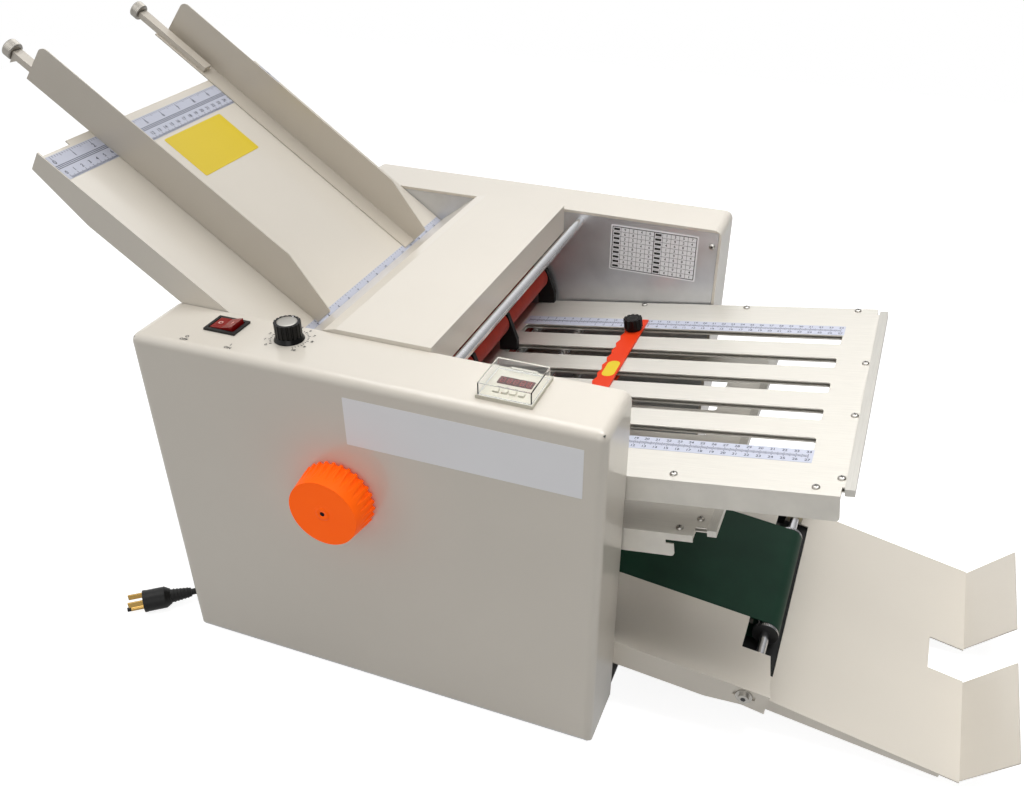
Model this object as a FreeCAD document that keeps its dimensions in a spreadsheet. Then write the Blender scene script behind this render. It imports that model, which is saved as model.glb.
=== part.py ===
"""Desk paper folding machine: sloping feed table, roller stack, two slotted fold plates, belt delivery.

Frame: origin on the floor at the middle of the body, +X is the way the paper travels,
+Y is the rear side, +Z is up. Lengths are in millimetres and angles in degrees.
"""
import FreeCAD, Part
import Sketcher
import math
import os
import re

os.makedirs("parts", exist_ok=True)
doc = FreeCAD.newDocument("folding_machine")
sheet = doc.addObject("Spreadsheet::Sheet", "Sizes")

SIZES = {
    # Body: two moulded covers on a steel chassis.
    "cover_length": 440, "machine_width": 478, "drive_bay": 66.5, "foot_height": 15,
    "cover_height": 354, "cover_wall": 3, "cover_radius": 9, "rim_radius": 8, "edge_radius": 1,
    "plate_thickness": 2.5, "base_thickness": 2.5, "seat_gap": 0.3, "overrun": 1,
    "boss_radius": 5, "boss_inset": 14, "foot_radius": 11, "foot_bore_radius": 2.5,
    "foot_inset_x": 30, "foot_inset_y": 34, "tie_radius": 5,
    # Roller stack, gears and bearings.
    "stack_x": -2.75, "stack_z": 262.2, "roller_pitch": 28.8, "roller_radius": 14.25,
    "plate_slope": 8.62, "journal_radius": 5, "bearing_wall": 3, "bearing_length": 5,
    "running_gap": 0.05, "gear_teeth": 24, "gear_offset": 6, "gear_width": 12,
    "tooth_addendum": 1.1, "tooth_dedendum": 1.5, "tooth_root_share": 0.56, "tooth_tip_share": 0.22,
    "pinion_teeth": 16, "wheel_angle": 38.05, "shaft_radius": 4, "roller_end_gap": 4,
    # Belt drive behind the front cover.
    "belt_width": 9, "belt_thickness": 1.5, "feed_layer": 26, "motor_layer": 42,
    "small_pulley_radius": 10, "drive_pulley_radius": 26, "feed_pulley_radius": 13,
    "flange_height": 2, "motor_x": -110, "motor_z": 78, "motor_radius": 34, "motor_length": 105,
    "motor_flange": 78, "motor_flange_thickness": 4, "motor_cap": 12, "motor_cap_radius": 24,
    "rotor_start": 12, "rotor_length": 70, "rotor_radius": 20,
    # Handwheel.
    "wheel_back_radius": 36.3, "wheel_front_radius": 32.9, "wheel_depth": 28, "wheel_gap": 3,
    "flute_radius": 2.6, "flute_count": 30, "wheel_hollow_radius": 7, "wheel_hollow_depth": 8,
    # Feed table and its side guides.
    "table_top_x": -338.5, "table_top_z": 494.5, "table_slope": 35.18, "table_length": 290,
    "table_margin": 0.5, "sheet_thickness": 1.5, "table_end_flange": 20, "table_flange": 30,
    "table_flange_run": 67, "relief_depth": 5, "relief_width": 34, "relief_inset": 2,
    "guide_y": 104, "guide_head": 73, "guide_foot": 277, "guide_height": 42, "guide_nose_height": 21,
    "guide_nose": 4, "guide_shoulder": 220, "guide_sheet": 1.2, "guide_flange": 22, "guide_corner": 8,
    "arm_head": 99, "arm_foot": 10, "arm_width": 11, "arm_height": 6, "arm_y": 91, "arm_wall": 1.2,
    "hook_drop": 7, "hook_length": 9, "screw_head_radius": 9, "screw_head_length": 9,
    "screw_stem_radius": 1.6, "screw_stem_length": 12,
    # Feed roller and separator pad.
    "feed_roller_run": 312, "feed_roller_radius": 18, "feed_stand_out": 1, "feed_tyre_half": 40,
    "pad_length": 24, "pad_width": 30, "pad_height": 6,
    # Centre cover, top rod and roller brackets.
    "hood_lip_x": -109, "hood_lip_z": 334.3, "hood_ridge_x": -62, "hood_ridge_z": 370,
    "hood_top_x": -50, "hood_top_z": 373, "hood_end_x": 42.8, "hood_drop": 30, "rod_radius": 5,
    "rod_x": 61.7, "rod_z": 357.5, "bracket_y": 46, "bracket_margin": 6.5, "bracket_width": 6,
    "sleeve_gap": 1, "bracket_top": 11, "bracket_left": 10, "bracket_right": 12, "bracket_reach": 20,
    # Fold plates: two slotted sheets with a paper channel between them.
    "mouth_distance": 24.8, "fold_margin": 2.5, "fold_sheet": 1.2, "channel_height": 2.6,
    "fold_start": 7, "upper_length": 374, "lower_length": 271, "upper_notch": 2.5, "lower_notch": 11,
    "slot_length": 343, "lower_slot_length": 236, "slot_width": 19.5, "slot_pitch": 48.5,
    "slot_count": 5, "slot_radius": 3, "side_strip": 12, "fold_flange": 22, "flange_start": 70,
    "bar_width": 8, "bar_inset": 8, "bar_rise": 1.5, "entry_bar": 9, "notch_width": 13,
    "hook_slot": 24, "hook_slot_height": 4, "hook_lip": 7,
    # Fold stops with their clamp knobs.
    "stop_place": 118, "lower_stop_place": 96, "stop_width": 20, "stop_half_length": 123,
    "stop_thickness": 2, "saw_depth": 2.5, "saw_pitch": 16.4, "finger_width": 10, "finger_depth": 1.5,
    "finger_inset": 3,
    "knob_radius": 10, "knob_height": 13, "knob_skirt": 3, "knob_y": 99, "knob_flutes": 12,
    "knob_flute_radius": 1.3, "knob_screw_radius": 2.5,
    # Delivery frame, belt and tray.
    "frame_x": 222, "frame_z": 88, "frame_slope": 6.5, "frame_back": 160, "arm_end": 149.5,
    "arm_inner_end": 141, "arm_root": 113, "arm_breadth": 51.5, "window_back": 142, "window_gap": 6.5,
    "frame_flange": 30, "frame_flange_mid": 92, "frame_flange_mid_drop": 28, "frame_flange_end": 143,
    "frame_flange_end_drop": 19, "conveyor_radius": 12, "conveyor_drop": 13.5, "conveyor_inset": 43.5,
    "end_roller_run": 132, "drive_roller_run": -125, "collar_radius": 13.2, "collar_width": 3,
    "end_bearing_radius": 8, "end_bearing_width": 8, "tray_slot_run": 127, "tray_slot_drop": 9,
    "tray_slot_length": 21, "tray_slot_height": 5.6, "tray_x": 368, "tray_z": 46.9, "tray_slope": 11.6,
    "tray_length": 184, "tray_margin": 19.5, "tray_flange": 13, "tray_flange_end": 5,
    "tray_flange_run": 166, "tongue_reach": 59, "tongue_inner_inset": 50, "tongue_inset": 2.1,
    "tongue_rise": 19, "tongue_low_rise": 13, "inner_flange": 24,
    "tray_notch": 36, "tray_notch_half": 23, "ear_length": 60, "ear_angle": 48, "ear_gap": 2,
    "tray_screw_radius": 2.5, "washer_radius": 8, "washer_thickness": 1.4, "screw_cap_radius": 5,
    "screw_cap_height": 3.5,
    # Controls on the front cover.
    "switch_x": -146, "switch_inset": 43.3, "switch_length": 32, "switch_width": 25.5, "bezel_height": 2,
    "switch_depth": 22, "switch_wall": 2.5, "rocker_gap": 0.5, "rocker_low": 2.4, "rocker_high": 6,
    "rocker_length": 23, "rocker_width": 18, "rocker_root": 1, "well_margin": 1.7, "well_depth": 8,
    "dial_x": -82.1, "dial_inset": 43.5, "dial_top_radius": 11.8, "dial_radius": 13.5,
    "dial_height": 16.7, "dial_skirt": 4, "dial_flutes": 18, "dial_flute_radius": 0.9,
    "spindle_radius": 3, "spindle_rise": 9, "pot_radius": 8.5, "board_drop": 17, "board_length": 75,
    "board_width": 44, "board_thickness": 1.6, "part_height": 9, "counter_x": 130.5,
    "counter_inset": 37.5, "counter_size": 48.5, "counter_depth": 48, "counter_neck": 44,
    "counter_rise": 3, "window_height": 11, "window_wall": 1.2, "window_hinge_radius": 1.2,
    "key_size": 4.6, "key_height": 1.6, "key_pitch": 7.2, "key_inset": 25, "key_well": 2.4, "key_travel": 0.8,
    "key_gap": 0.3, "display_length": 30, "display_width": 11, "display_inset": 41,
    # Mains cord.
    "cord_radius": 3.5, "gland_inset": 55, "gland_z": 32, "gland_length": 20, "gland_radius": 8,
    "gland_tip_radius": 5, "gland_flange": 2, "gland_flange_radius": 10, "gland_neck_radius": 6,
    "coil_x": -275, "coil_y": -64, "coil_outer": 47.5, "coil_layers": 4, "layer_turns": 1,
    "coil_step": 8.7, "coil_rise": 8.5, "coil_loft": 0.5,
    "plug_x": -262, "plug_y": -199, "plug_z": 12.5, "plug_heading": 218.5, "plug_taper": 22,
    "plug_body": 20, "plug_body_radius": 12, "plug_face_radius": 12.3, "plug_face": 3,
    "plug_shoulder": 6, "plug_tip_radius": 5,
    "plug_neck_radius": 7.5, "plug_blade_rise": 4, "plug_blade_length": 16,
    "plug_blade_height": 6.3, "plug_blade_thickness": 1.5, "plug_blade_spread": 6.35,
    "plug_pin_radius": 2.4, "plug_pin_length": 19, "plug_pin_drop": 7.5,
}
DRIVEN = {
    "inner_width": "machine_width - 2 * drive_bay",
    "table_width": "inner_width - 2 * table_margin",
    "bracket_outer_y": "inner_width / 2 - bracket_margin",
    "fold_half_width": "inner_width / 2 - fold_margin",
    "arm_inner_y": "inner_width / 2 - arm_breadth",
    "conveyor_half": "arm_inner_y - conveyor_inset",
    "window_half": "conveyor_half + window_gap",
    "tray_half_width": "inner_width / 2 - tray_margin",
    "tongue_inner_y": "inner_width / 2 - tongue_inner_inset",
    "tongue_outer_y": "inner_width / 2 - tongue_inset",
    "switch_y": "switch_inset - machine_width / 2",
    "dial_y": "dial_inset - machine_width / 2",
    "counter_y": "counter_inset - machine_width / 2",
    "key_y": "key_inset - machine_width / 2",
    "display_y": "display_inset - machine_width / 2",
    "gland_y": "gland_inset - machine_width / 2",
}
CELLS = {**SIZES, **{alias: "=" + formula for alias, formula in DRIVEN.items()}}
for row, (alias, amount) in enumerate(CELLS.items(), start=1):
    sheet.set("A%d" % row, alias)
    sheet.set("B%d" % row, str(amount))
    sheet.setAlias("B%d" % row, alias)
doc.recompute()

NAME = re.compile(r"[a-z_][a-z_0-9]*")
NODES = {}
ALIGNED = 0.999  # least share of a straight edge's length along its axis
BEND_SHARE = 0.45  # of the shorter run at a point of the cord that its arc takes up
COIL_SAMPLES = 48  # points a turn where the coil's least gap is measured
ARC_PAIRS = 4  # a turn of the coil
TINY = 0.001


def bind(text):
    """Expression in which every size name points at its cell."""
    return NAME.sub(lambda m: "Sizes." + m.group() if m.group() in CELLS else m.group(), text)


def number(text):
    """Plain value of an expression of the sizes."""
    result = sheet.evalExpression(bind(text))
    return float(getattr(result, "Value", result))


def neg(text):
    return "-(%s)" % text


def move(item, x="0", y="0", z="0"):
    """Bind a placement's base to expressions."""
    for axis, text in zip("xyz", (x, y, z)):
        item.setExpression("Placement.Base." + axis, bind(text))
    return item


def turn(item, axis, angle):
    """Turn a piece about an axis through its base by a bound angle."""
    item.Placement = FreeCAD.Placement(item.Placement.Base, FreeCAD.Rotation(FreeCAD.Vector(*axis), 1))
    item.setExpression("Placement.Rotation.Angle", bind(angle))
    return item


def box(x0, x1, y0, y1, z0, z1):
    item = doc.addObject("Part::Box", "block")
    for side, low, high in (("Length", x0, x1), ("Width", y0, y1), ("Height", z0, z1)):
        item.setExpression(side, bind("(%s) - (%s)" % (high, low)))
    return move(item, x0, y0, z0)


def cylinder(kind, radius, low, high):
    """Cylinder along X, Y or Z between two stations, through the origin."""
    item = doc.addObject("Part::Cylinder", "round")
    item.setExpression("Radius", bind(radius))
    item.setExpression("Height", bind("(%s) - (%s)" % (high, low)))
    spin = {"X": FreeCAD.Rotation(FreeCAD.Vector(0, 1, 0), 90),
            "Y": FreeCAD.Rotation(FreeCAD.Vector(1, 0, 0), -90),
            "Z": FreeCAD.Rotation()}[kind]
    item.Placement = FreeCAD.Placement(FreeCAD.Vector(), spin)
    return item


def rod(x, z, radius, y0, y1):
    return move(cylinder("Y", radius, y0, y1), x, y0, z)


def post(x, y, radius, z0, z1):
    return move(cylinder("Z", radius, z0, z1), x, y, z0)


def bar(y, z, radius, x0, x1):
    return move(cylinder("X", radius, x0, x1), x0, y, z)


def cone(kind, radius0, radius1, low, high):
    item = doc.addObject("Part::Cone", "cone")
    item.setExpression("Radius1", bind(radius0))
    item.setExpression("Radius2", bind(radius1))
    item.setExpression("Height", bind("(%s) - (%s)" % (high, low)))
    axis, angle = {"X": ((0, 1, 0), 90), "-X": ((0, 1, 0), -90), "Z": ((0, 0, 1), 0)}[kind]
    item.Placement = FreeCAD.Placement(FreeCAD.Vector(), FreeCAD.Rotation(FreeCAD.Vector(*axis), angle))
    return item


def fuse(*items):
    joined = doc.addObject("Part::MultiFuse", "joined")
    joined.Shapes = list(items)
    joined.Refine = True
    return joined


def cut(base, *tools):
    result = doc.addObject("Part::Cut", "trimmed")
    result.Base = base
    result.Tool = tools[0] if len(tools) == 1 else group(*tools)
    result.Refine = True
    return result


def group(*items):
    """Separate solids that stay separate."""
    together = doc.addObject("Part::Compound", "set")
    together.Links = list(items)
    return together


def mirrored(item):
    """The same piece on the other side of the middle plane y = 0."""
    twin = doc.addObject("Part::Mirroring", "mirrored")
    twin.Source = item
    twin.Normal = FreeCAD.Vector(0, 1, 0)
    return twin


def both(item):
    return (item, mirrored(item))


def node(name, item):
    item.Label = name
    NODES[name] = item
    return item


def sketch_on(body, plane, points, low, high):
    """Closed outline on one of the body's origin planes, every corner bound to sizes."""
    sketch = body.newObject("Sketcher::SketchObject", "outline")
    support = [o for o in body.Origin.OriginFeatures if o.Role == plane + "_Plane"][0]
    sketch.AttachmentSupport = [(support, "")]
    sketch.MapMode = "FlatFace"
    # The normal of the XZ plane looks towards -Y, so its outline sits at the far station.
    station = neg(high) if plane == "XZ" else low
    sketch.setExpression("AttachmentOffset.Base.z", bind(station))
    corners = [FreeCAD.Vector(number(a), number(b), 0) for a, b in points]
    count = len(corners)
    for i in range(count):
        sketch.addGeometry(Part.LineSegment(corners[i], corners[(i + 1) % count]), False)
    for i in range(count):
        sketch.addConstraint(Sketcher.Constraint("Coincident", i, 2, (i + 1) % count, 1))
    for i, (a, b) in enumerate(points):
        for kind, text, at in (("DistanceX", a, corners[i].x), ("DistanceY", b, corners[i].y)):
            index = sketch.addConstraint(Sketcher.Constraint(kind, -1, 1, i, 1, at))
            sketch.setExpression("Constraints[%d]" % index, bind(text))
    return sketch


def prism(plane, points, low, high):
    """Body padded from an outline on a plane, between two stations along its normal."""
    body = doc.addObject("PartDesign::Body", "body")
    pad = body.newObject("PartDesign::Pad", "pad")
    pad.Profile = sketch_on(body, plane, points, low, high)
    pad.setExpression("Length", bind("(%s) - (%s)" % (high, low)))
    return body


def rounded(body, radius, chosen):
    """Fillet the edges of a body that a test picks."""
    doc.recompute()
    base = body.Tip
    names = ["Edge%d" % i for i, e in enumerate(base.Shape.Edges, start=1) if chosen(e)]
    fillet = body.newObject("PartDesign::Fillet", "fillet")
    fillet.Base = (base, names)
    fillet.setExpression("Radius", bind(radius))
    return body


def along(edge, axis):
    """True for a straight edge that runs along the named axis."""
    ends = [v.Point for v in edge.Vertexes]
    if len(ends) < 2:
        return False
    way = ends[1] - ends[0]
    parts = {"X": abs(way.x), "Y": abs(way.y), "Z": abs(way.z)}
    return parts[axis] > ALIGNED * way.Length


def circle_sketch(body, plane, x, y, radius, station):
    sketch = body.newObject("Sketcher::SketchObject", "circle")
    support = [o for o in body.Origin.OriginFeatures if o.Role == plane + "_Plane"][0]
    sketch.AttachmentSupport = [(support, "")]
    sketch.MapMode = "FlatFace"
    sketch.setExpression("AttachmentOffset.Base.z", bind(neg(station) if plane == "XZ" else station))
    centre = FreeCAD.Vector(number(x), number(y), 0)
    sketch.addGeometry(Part.Circle(centre, FreeCAD.Vector(0, 0, 1), number(radius)), False)
    for kind, text, at in (("DistanceX", x, centre.x), ("DistanceY", y, centre.y)):
        index = sketch.addConstraint(Sketcher.Constraint(kind, -1, 1, 0, 3, at))
        sketch.setExpression("Constraints[%d]" % index, bind(text))
    index = sketch.addConstraint(Sketcher.Constraint("Radius", 0, number(radius)))
    sketch.setExpression("Constraints[%d]" % index, bind(radius))
    return sketch


def patterned(body, feature, axis, count):
    """Repeat a feature round one of the body's origin axes."""
    pattern = body.newObject("PartDesign::PolarPattern", "pattern")
    pattern.Originals = [feature]
    line = [o for o in body.Origin.OriginFeatures if o.Role == axis + "_Axis"][0]
    pattern.Axis = (line, [""])
    pattern.Angle = 360
    pattern.setExpression("Occurrences", bind(count))
    body.Tip = pattern
    return body


def disc(plane, radius, low, high):
    """Body of one round pad about the origin."""
    body = doc.addObject("PartDesign::Body", "body")
    pad = body.newObject("PartDesign::Pad", "pad")
    pad.Profile = circle_sketch(body, plane, "0", "0", radius, high if plane == "XZ" else low)
    pad.setExpression("Length", bind("(%s) - (%s)" % (high, low)))
    return body


def toothed(teeth, low, high):
    """Spur gear about the Y axis, its first tooth on +X, flanks straight and eased for backlash."""
    module = "(2 * roller_pitch / (2 * gear_teeth))"
    pitch_radius = "(%s * %s / 2)" % (module, teeth)
    root = "(%s - tooth_dedendum)" % pitch_radius
    tip = "(%s + tooth_addendum)" % pitch_radius
    half_root = "(%s * pi / 2 * tooth_root_share)" % module
    half_tip = "(%s * pi / 2 * tooth_tip_share)" % module
    body = disc("XZ", root, low, high)
    pad = body.newObject("PartDesign::Pad", "tooth")
    inside = "(%s - tooth_dedendum)" % root
    corners = [(inside, neg(half_root)), (root, neg(half_root)), (tip, neg(half_tip)),
               (tip, half_tip), (root, half_root), (inside, half_root)]
    pad.Profile = sketch_on(body, "XZ", corners, low, high)
    pad.setExpression("Length", bind("(%s) - (%s)" % (high, low)))
    return patterned(body, pad, "Y", teeth)


def fluted(kind, radius, low, high, flute, count):
    """Round grip with flutes round its rim."""
    plane = {"Y": "XZ", "Z": "XY"}[kind]
    body = disc(plane, radius, low, high)
    pocket = body.newObject("PartDesign::Pocket", "flute")
    pocket.Profile = circle_sketch(body, plane, radius, "0", flute, high if plane == "XZ" else low)
    pocket.Type = "ThroughAll"
    pocket.Midplane = True
    return patterned(body, pocket, kind, count)


# Shared places, each an expression of the sizes.
HALF = "(machine_width / 2)"
INNER = "(inner_width / 2)"
OUTER_FACE = "(inner_width / 2 + plate_thickness)"
FLOOR = "foot_height"
TOP = "(foot_height + cover_height)"
LEFT = "(-cover_length / 2)"
RIGHT = "(cover_length / 2)"
DECK = "(foot_height + base_thickness)"
ROLLER_END = "(inner_width / 2 - roller_end_gap)"
GEAR_IN = "(-inner_width / 2 - plate_thickness - gear_offset)"
GEAR_OUT = "(%s - gear_width)" % GEAR_IN
PITCH_UP = "(roller_pitch * cos(plate_slope))"
PITCH_SIDE = "(roller_pitch * sin(plate_slope))"


def roller_place(index):
    """Axis of a fold roller, counted down the zigzag stack from 1."""
    x = "(stack_x + %d * %s)" % ((index + 1) % 2, PITCH_SIDE)
    z = "(stack_z - %d * %s)" % (index - 1, PITCH_UP)
    return x, z


PLACES = {"fold_roller_%d" % i: roller_place(i) for i in range(1, 7)}
PLACES["guide_roller"] = ("(stack_x + roller_pitch * sin(table_slope))",
                          "(stack_z + roller_pitch * cos(table_slope))")
WHEEL_REACH = "(roller_pitch / (2 * gear_teeth) * (gear_teeth + pinion_teeth))"
PLACES["main_shaft"] = ("(stack_x - %s * cos(wheel_angle))" % WHEEL_REACH,
                        "(stack_z - %s * sin(wheel_angle))" % WHEEL_REACH)
FEED_DROP = "(feed_roller_radius - feed_stand_out)"
PLACES["feed_roller"] = (
    "(table_top_x + feed_roller_run * cos(table_slope) - %s * sin(table_slope))" % FEED_DROP,
    "(table_top_z - feed_roller_run * sin(table_slope) - %s * cos(table_slope))" % FEED_DROP)


def frame_point(run, rise):
    """Point of the delivery frame's own plane in the machine's frame."""
    return ("(frame_x + (%s) * cos(frame_slope) + (%s) * sin(frame_slope))" % (run, rise),
            "(frame_z - (%s) * sin(frame_slope) + (%s) * cos(frame_slope))" % (run, rise))


PLACES["delivery_drive_roller"] = frame_point("drive_roller_run", "-conveyor_drop")
END_ROLLER = frame_point("end_roller_run", "-conveyor_drop")
MAIN_X, MAIN_Z = PLACES["main_shaft"]
BEARING_RADIUS = "(journal_radius + bearing_wall)"


def bored(item, radius, grow="0", low="-%s" % HALF, high=HALF):
    """Cut the bearing seats of every shaft out of a piece."""
    tools = [rod(x, z, "%s + %s" % (radius, grow), low, high) for x, z in PLACES.values()]
    return cut(item, *tools)


# Chassis.
PLATE_X = "(cover_length / 2 - cover_wall - seat_gap)"
PLATE_TOP = "(foot_height + cover_height - cover_wall - seat_gap)"
base = box(neg(PLATE_X), PLATE_X, "-(machine_width / 2 - cover_wall - seat_gap)",
           "machine_width / 2 - cover_wall - seat_gap", FLOOR, DECK)
FOOT_X = "(cover_length / 2 - foot_inset_x)"
FOOT_Y = "(machine_width / 2 - foot_inset_y)"
FOOT_SPOTS = [(a, b) for a in (FOOT_X, neg(FOOT_X)) for b in (FOOT_Y, neg(FOOT_Y))]
node("base_plate", cut(base, *[post(x, y, "foot_bore_radius", "foot_height - overrun",
                                    "foot_height + base_thickness + overrun") for x, y in FOOT_SPOTS]))
foot = [cut(move(cone("Z", "foot_radius - 2 * edge_radius", "foot_radius", "0", FLOOR), x, y, "0"),
            post(x, y, "foot_bore_radius", "-overrun", "foot_height + overrun"))
        for x, y in FOOT_SPOTS]
node("rubber_feet", group(*foot))

PAD_SEAT = "(feed_stand_out + seat_gap + pad_height + tie_radius)"
PAD_TIE = ("(table_top_x + feed_roller_run * cos(table_slope) + %s * sin(table_slope))" % PAD_SEAT,
           "(table_top_z - feed_roller_run * sin(table_slope) + %s * cos(table_slope))" % PAD_SEAT)


def plate_point(index, run, rise):
    """Point of a fold plate's own plane in the machine's frame; index counts the nip's upper roller."""
    x, z = roller_place(index)
    nip_x = "(%s + roller_pitch / 2 * sin(plate_slope))" % x
    nip_z = "(%s - roller_pitch / 2 * cos(plate_slope))" % z
    return ("(%s + (mouth_distance + %s) * cos(plate_slope) - (%s) * sin(plate_slope))" % (nip_x, run, rise),
            "(%s + (mouth_distance + %s) * sin(plate_slope) + (%s) * cos(plate_slope))" % (nip_z, run, rise))


UNDER = "-(channel_height / 2 + fold_sheet + tie_radius)"
TIES = [PAD_TIE] + [plate_point(i, run, UNDER) for i in (1, 3)
                    for run in ("2 * tie_radius", "flange_start - 2 * tie_radius")]
TIES.append(("(%s + motor_radius)" % LEFT, "(motor_z + 2 * motor_radius)"))
node("tie_bars", group(*[rod(x, z, "tie_radius", neg(INNER), INNER) for x, z in TIES]))
node("top_rod", rod("rod_x", "rod_z", "rod_radius", neg(INNER), INNER))

side = box(neg(PLATE_X), PLATE_X, INNER, OUTER_FACE, DECK, PLATE_TOP)
side = bored(side, BEARING_RADIUS)
motor_hole = rod("motor_x", "motor_z", "2 * journal_radius", neg(HALF), HALF)
node("rear_side_plate", side)
front_side = box(neg(PLATE_X), PLATE_X, neg(OUTER_FACE), neg(INNER), DECK, PLATE_TOP)
node("front_side_plate", cut(bored(front_side, BEARING_RADIUS), motor_hole))

bushes = []
for x, z in PLACES.values():
    for low, high in ((INNER, "(inner_width / 2 + bearing_length)"),
                      ("(-inner_width / 2 - bearing_length)", neg(INNER))):
        bore = "shaft_radius" if (x, z) == PLACES["main_shaft"] else "journal_radius"
        bushes.append(cut(rod(x, z, BEARING_RADIUS, low, high),
                          rod(x, z, bore + " + running_gap", neg(HALF), HALF)))
node("shaft_bearings", group(*bushes))


# Covers.
def cover():
    """Rear cover shell with its screw bosses, before the openings."""
    shell = prism("XZ", [(LEFT, FLOOR), (RIGHT, FLOOR), (RIGHT, TOP), (LEFT, TOP)], INNER, HALF)
    far, middle = number(HALF), number("cover_height / 2")

    rounded(shell, "cover_radius", lambda e: along(e, "Y") and e.CenterOfMass.z > middle)
    rounded(shell, "rim_radius", lambda e: min(v.Point.y for v in e.Vertexes) > far - number("edge_radius"))
    hollow = box("%s + cover_wall" % LEFT, "%s - cover_wall" % RIGHT, "%s - overrun" % INNER,
                 "%s - cover_wall" % HALF, "%s - overrun" % FLOOR, "%s - cover_wall" % TOP)
    spots = [(a, b) for a in ("(%s - boss_inset)" % PLATE_X, "-(%s - boss_inset)" % PLATE_X)
             for b in ("(foot_height + 2 * boss_inset)", "(%s - boss_inset)" % PLATE_TOP)]
    bosses = [rod(x, z, "boss_radius", OUTER_FACE, "%s - cover_wall / 2" % HALF) for x, z in spots]
    return fuse(cut(shell, hollow), *bosses)


node("rear_cover", cover())
SWITCH_HOLE_X = "(switch_length / 2 - switch_wall / 2)"
SWITCH_HOLE_Y = "(switch_width / 2 - switch_wall / 2)"
openings = [
    rod(MAIN_X, MAIN_Z, "shaft_radius + edge_radius", neg("%s + overrun" % HALF),
        neg("%s - cover_wall - overrun" % HALF)),
    box("switch_x - %s" % SWITCH_HOLE_X, "switch_x + %s" % SWITCH_HOLE_X, "switch_y - %s" % SWITCH_HOLE_Y,
        "switch_y + %s" % SWITCH_HOLE_Y, "%s - cover_wall - overrun" % TOP, "%s + overrun" % TOP),
    post("dial_x", "dial_y", "spindle_radius + edge_radius", "%s - cover_wall - overrun" % TOP,
         "%s + overrun" % TOP),
    box("counter_x - counter_neck / 2", "counter_x + counter_neck / 2", "counter_y - counter_neck / 2",
        "counter_y + counter_neck / 2", "%s - cover_wall - overrun" % TOP, "%s + overrun" % TOP),
    bar("gland_y", "gland_z", "gland_neck_radius", "%s - overrun" % LEFT, "%s + cover_wall + overrun" % LEFT),
]
node("front_cover", cut(mirrored(cover()), *openings))

# Handwheel and the main shaft with its pinion and pulleys.
WHEEL_BACK = "(-machine_width / 2 - wheel_gap)"
WHEEL_FRONT = "(%s - wheel_depth)" % WHEEL_BACK
wheel = doc.addObject("PartDesign::Body", "wheel")
pad = wheel.newObject("PartDesign::Pad", "pad")
pad.Profile = circle_sketch(wheel, "XZ", "0", "0", "wheel_back_radius", WHEEL_BACK)
pad.setExpression("Length", bind("wheel_depth"))
pad.setExpression("TaperAngle", bind("-atan((wheel_back_radius - wheel_front_radius) / wheel_depth)"))
flute = wheel.newObject("PartDesign::Pocket", "flute")
flute.Profile = circle_sketch(wheel, "XZ", "wheel_back_radius", "0", "flute_radius",
                              WHEEL_BACK)
flute.Type = "ThroughAll"
flute.Midplane = True
patterned(wheel, flute, "Y", "flute_count")
hole = rod("0", "0", "shaft_radius", "%s - overrun" % WHEEL_FRONT, "%s + overrun" % WHEEL_BACK)
dish = rod("0", "0", "wheel_hollow_radius", "%s - overrun" % WHEEL_FRONT,
           "%s + wheel_hollow_depth" % WHEEL_FRONT)
node("handwheel", move(cut(wheel, hole, dish), MAIN_X, "0", MAIN_Z))


def pulley(radius, layer):
    """Belt pulley with two flanges, centred on a belt layer in front of the side plate."""
    middle = "(-inner_width / 2 - plate_thickness - %s)" % layer
    half = "(belt_width / 2 + seat_gap)"
    rims = [rod("0", "0", "%s + flange_height" % radius, low, high) for low, high in (
        ("%s - %s - flange_height" % (middle, half), "%s - %s" % (middle, half)),
        ("%s + %s" % (middle, half), "%s + %s + flange_height" % (middle, half)))]
    return [rod("0", "0", radius, "%s - %s" % (middle, half), "%s + %s" % (middle, half))] + rims


PINION_PHASE = ("(180 + wheel_angle + 180 + (180 + wheel_angle) * gear_teeth / pinion_teeth"
                " - 180 / pinion_teeth)")
pinion = turn(toothed("pinion_teeth", GEAR_OUT, GEAR_IN), (0, 1, 0), neg(PINION_PHASE))
shaft = rod("0", "0", "shaft_radius", WHEEL_FRONT, "inner_width / 2 + bearing_length")
shaft = fuse(shaft, pinion, *pulley("drive_pulley_radius", "motor_layer"),
             *pulley("small_pulley_radius", "feed_layer"))
node("main_shaft", move(shaft, MAIN_X, "0", MAIN_Z))


# Rollers.
def geared_shaft(radius, phase, front=GEAR_OUT):
    """Journalled shaft with its gear, tooth phase set so that it meshes with its neighbours."""
    core = rod("0", "0", "journal_radius", front, "inner_width / 2 + bearing_length")
    gear = turn(toothed("gear_teeth", GEAR_OUT, GEAR_IN), (0, 1, 0), neg(phase))
    face = [rod("0", "0", radius, neg(ROLLER_END), ROLLER_END)] if radius else []
    return [core, gear] + face


for i in range(1, 7):
    step = "%d * plate_slope" % (2 * (i - 1))
    phase = neg(step) if i % 2 else "(%s - 180 / gear_teeth)" % step
    parts = geared_shaft("roller_radius", phase)
    if i == 6:
        parts += [rod("0", "0", "journal_radius",
                      "-inner_width / 2 - plate_thickness - feed_layer - belt_width", GEAR_OUT)]
        parts += pulley("small_pulley_radius", "feed_layer")
    name = "fold_roller_%d" % i
    node(name, move(fuse(*parts), PLACES[name][0], "0", PLACES[name][1]))

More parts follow.
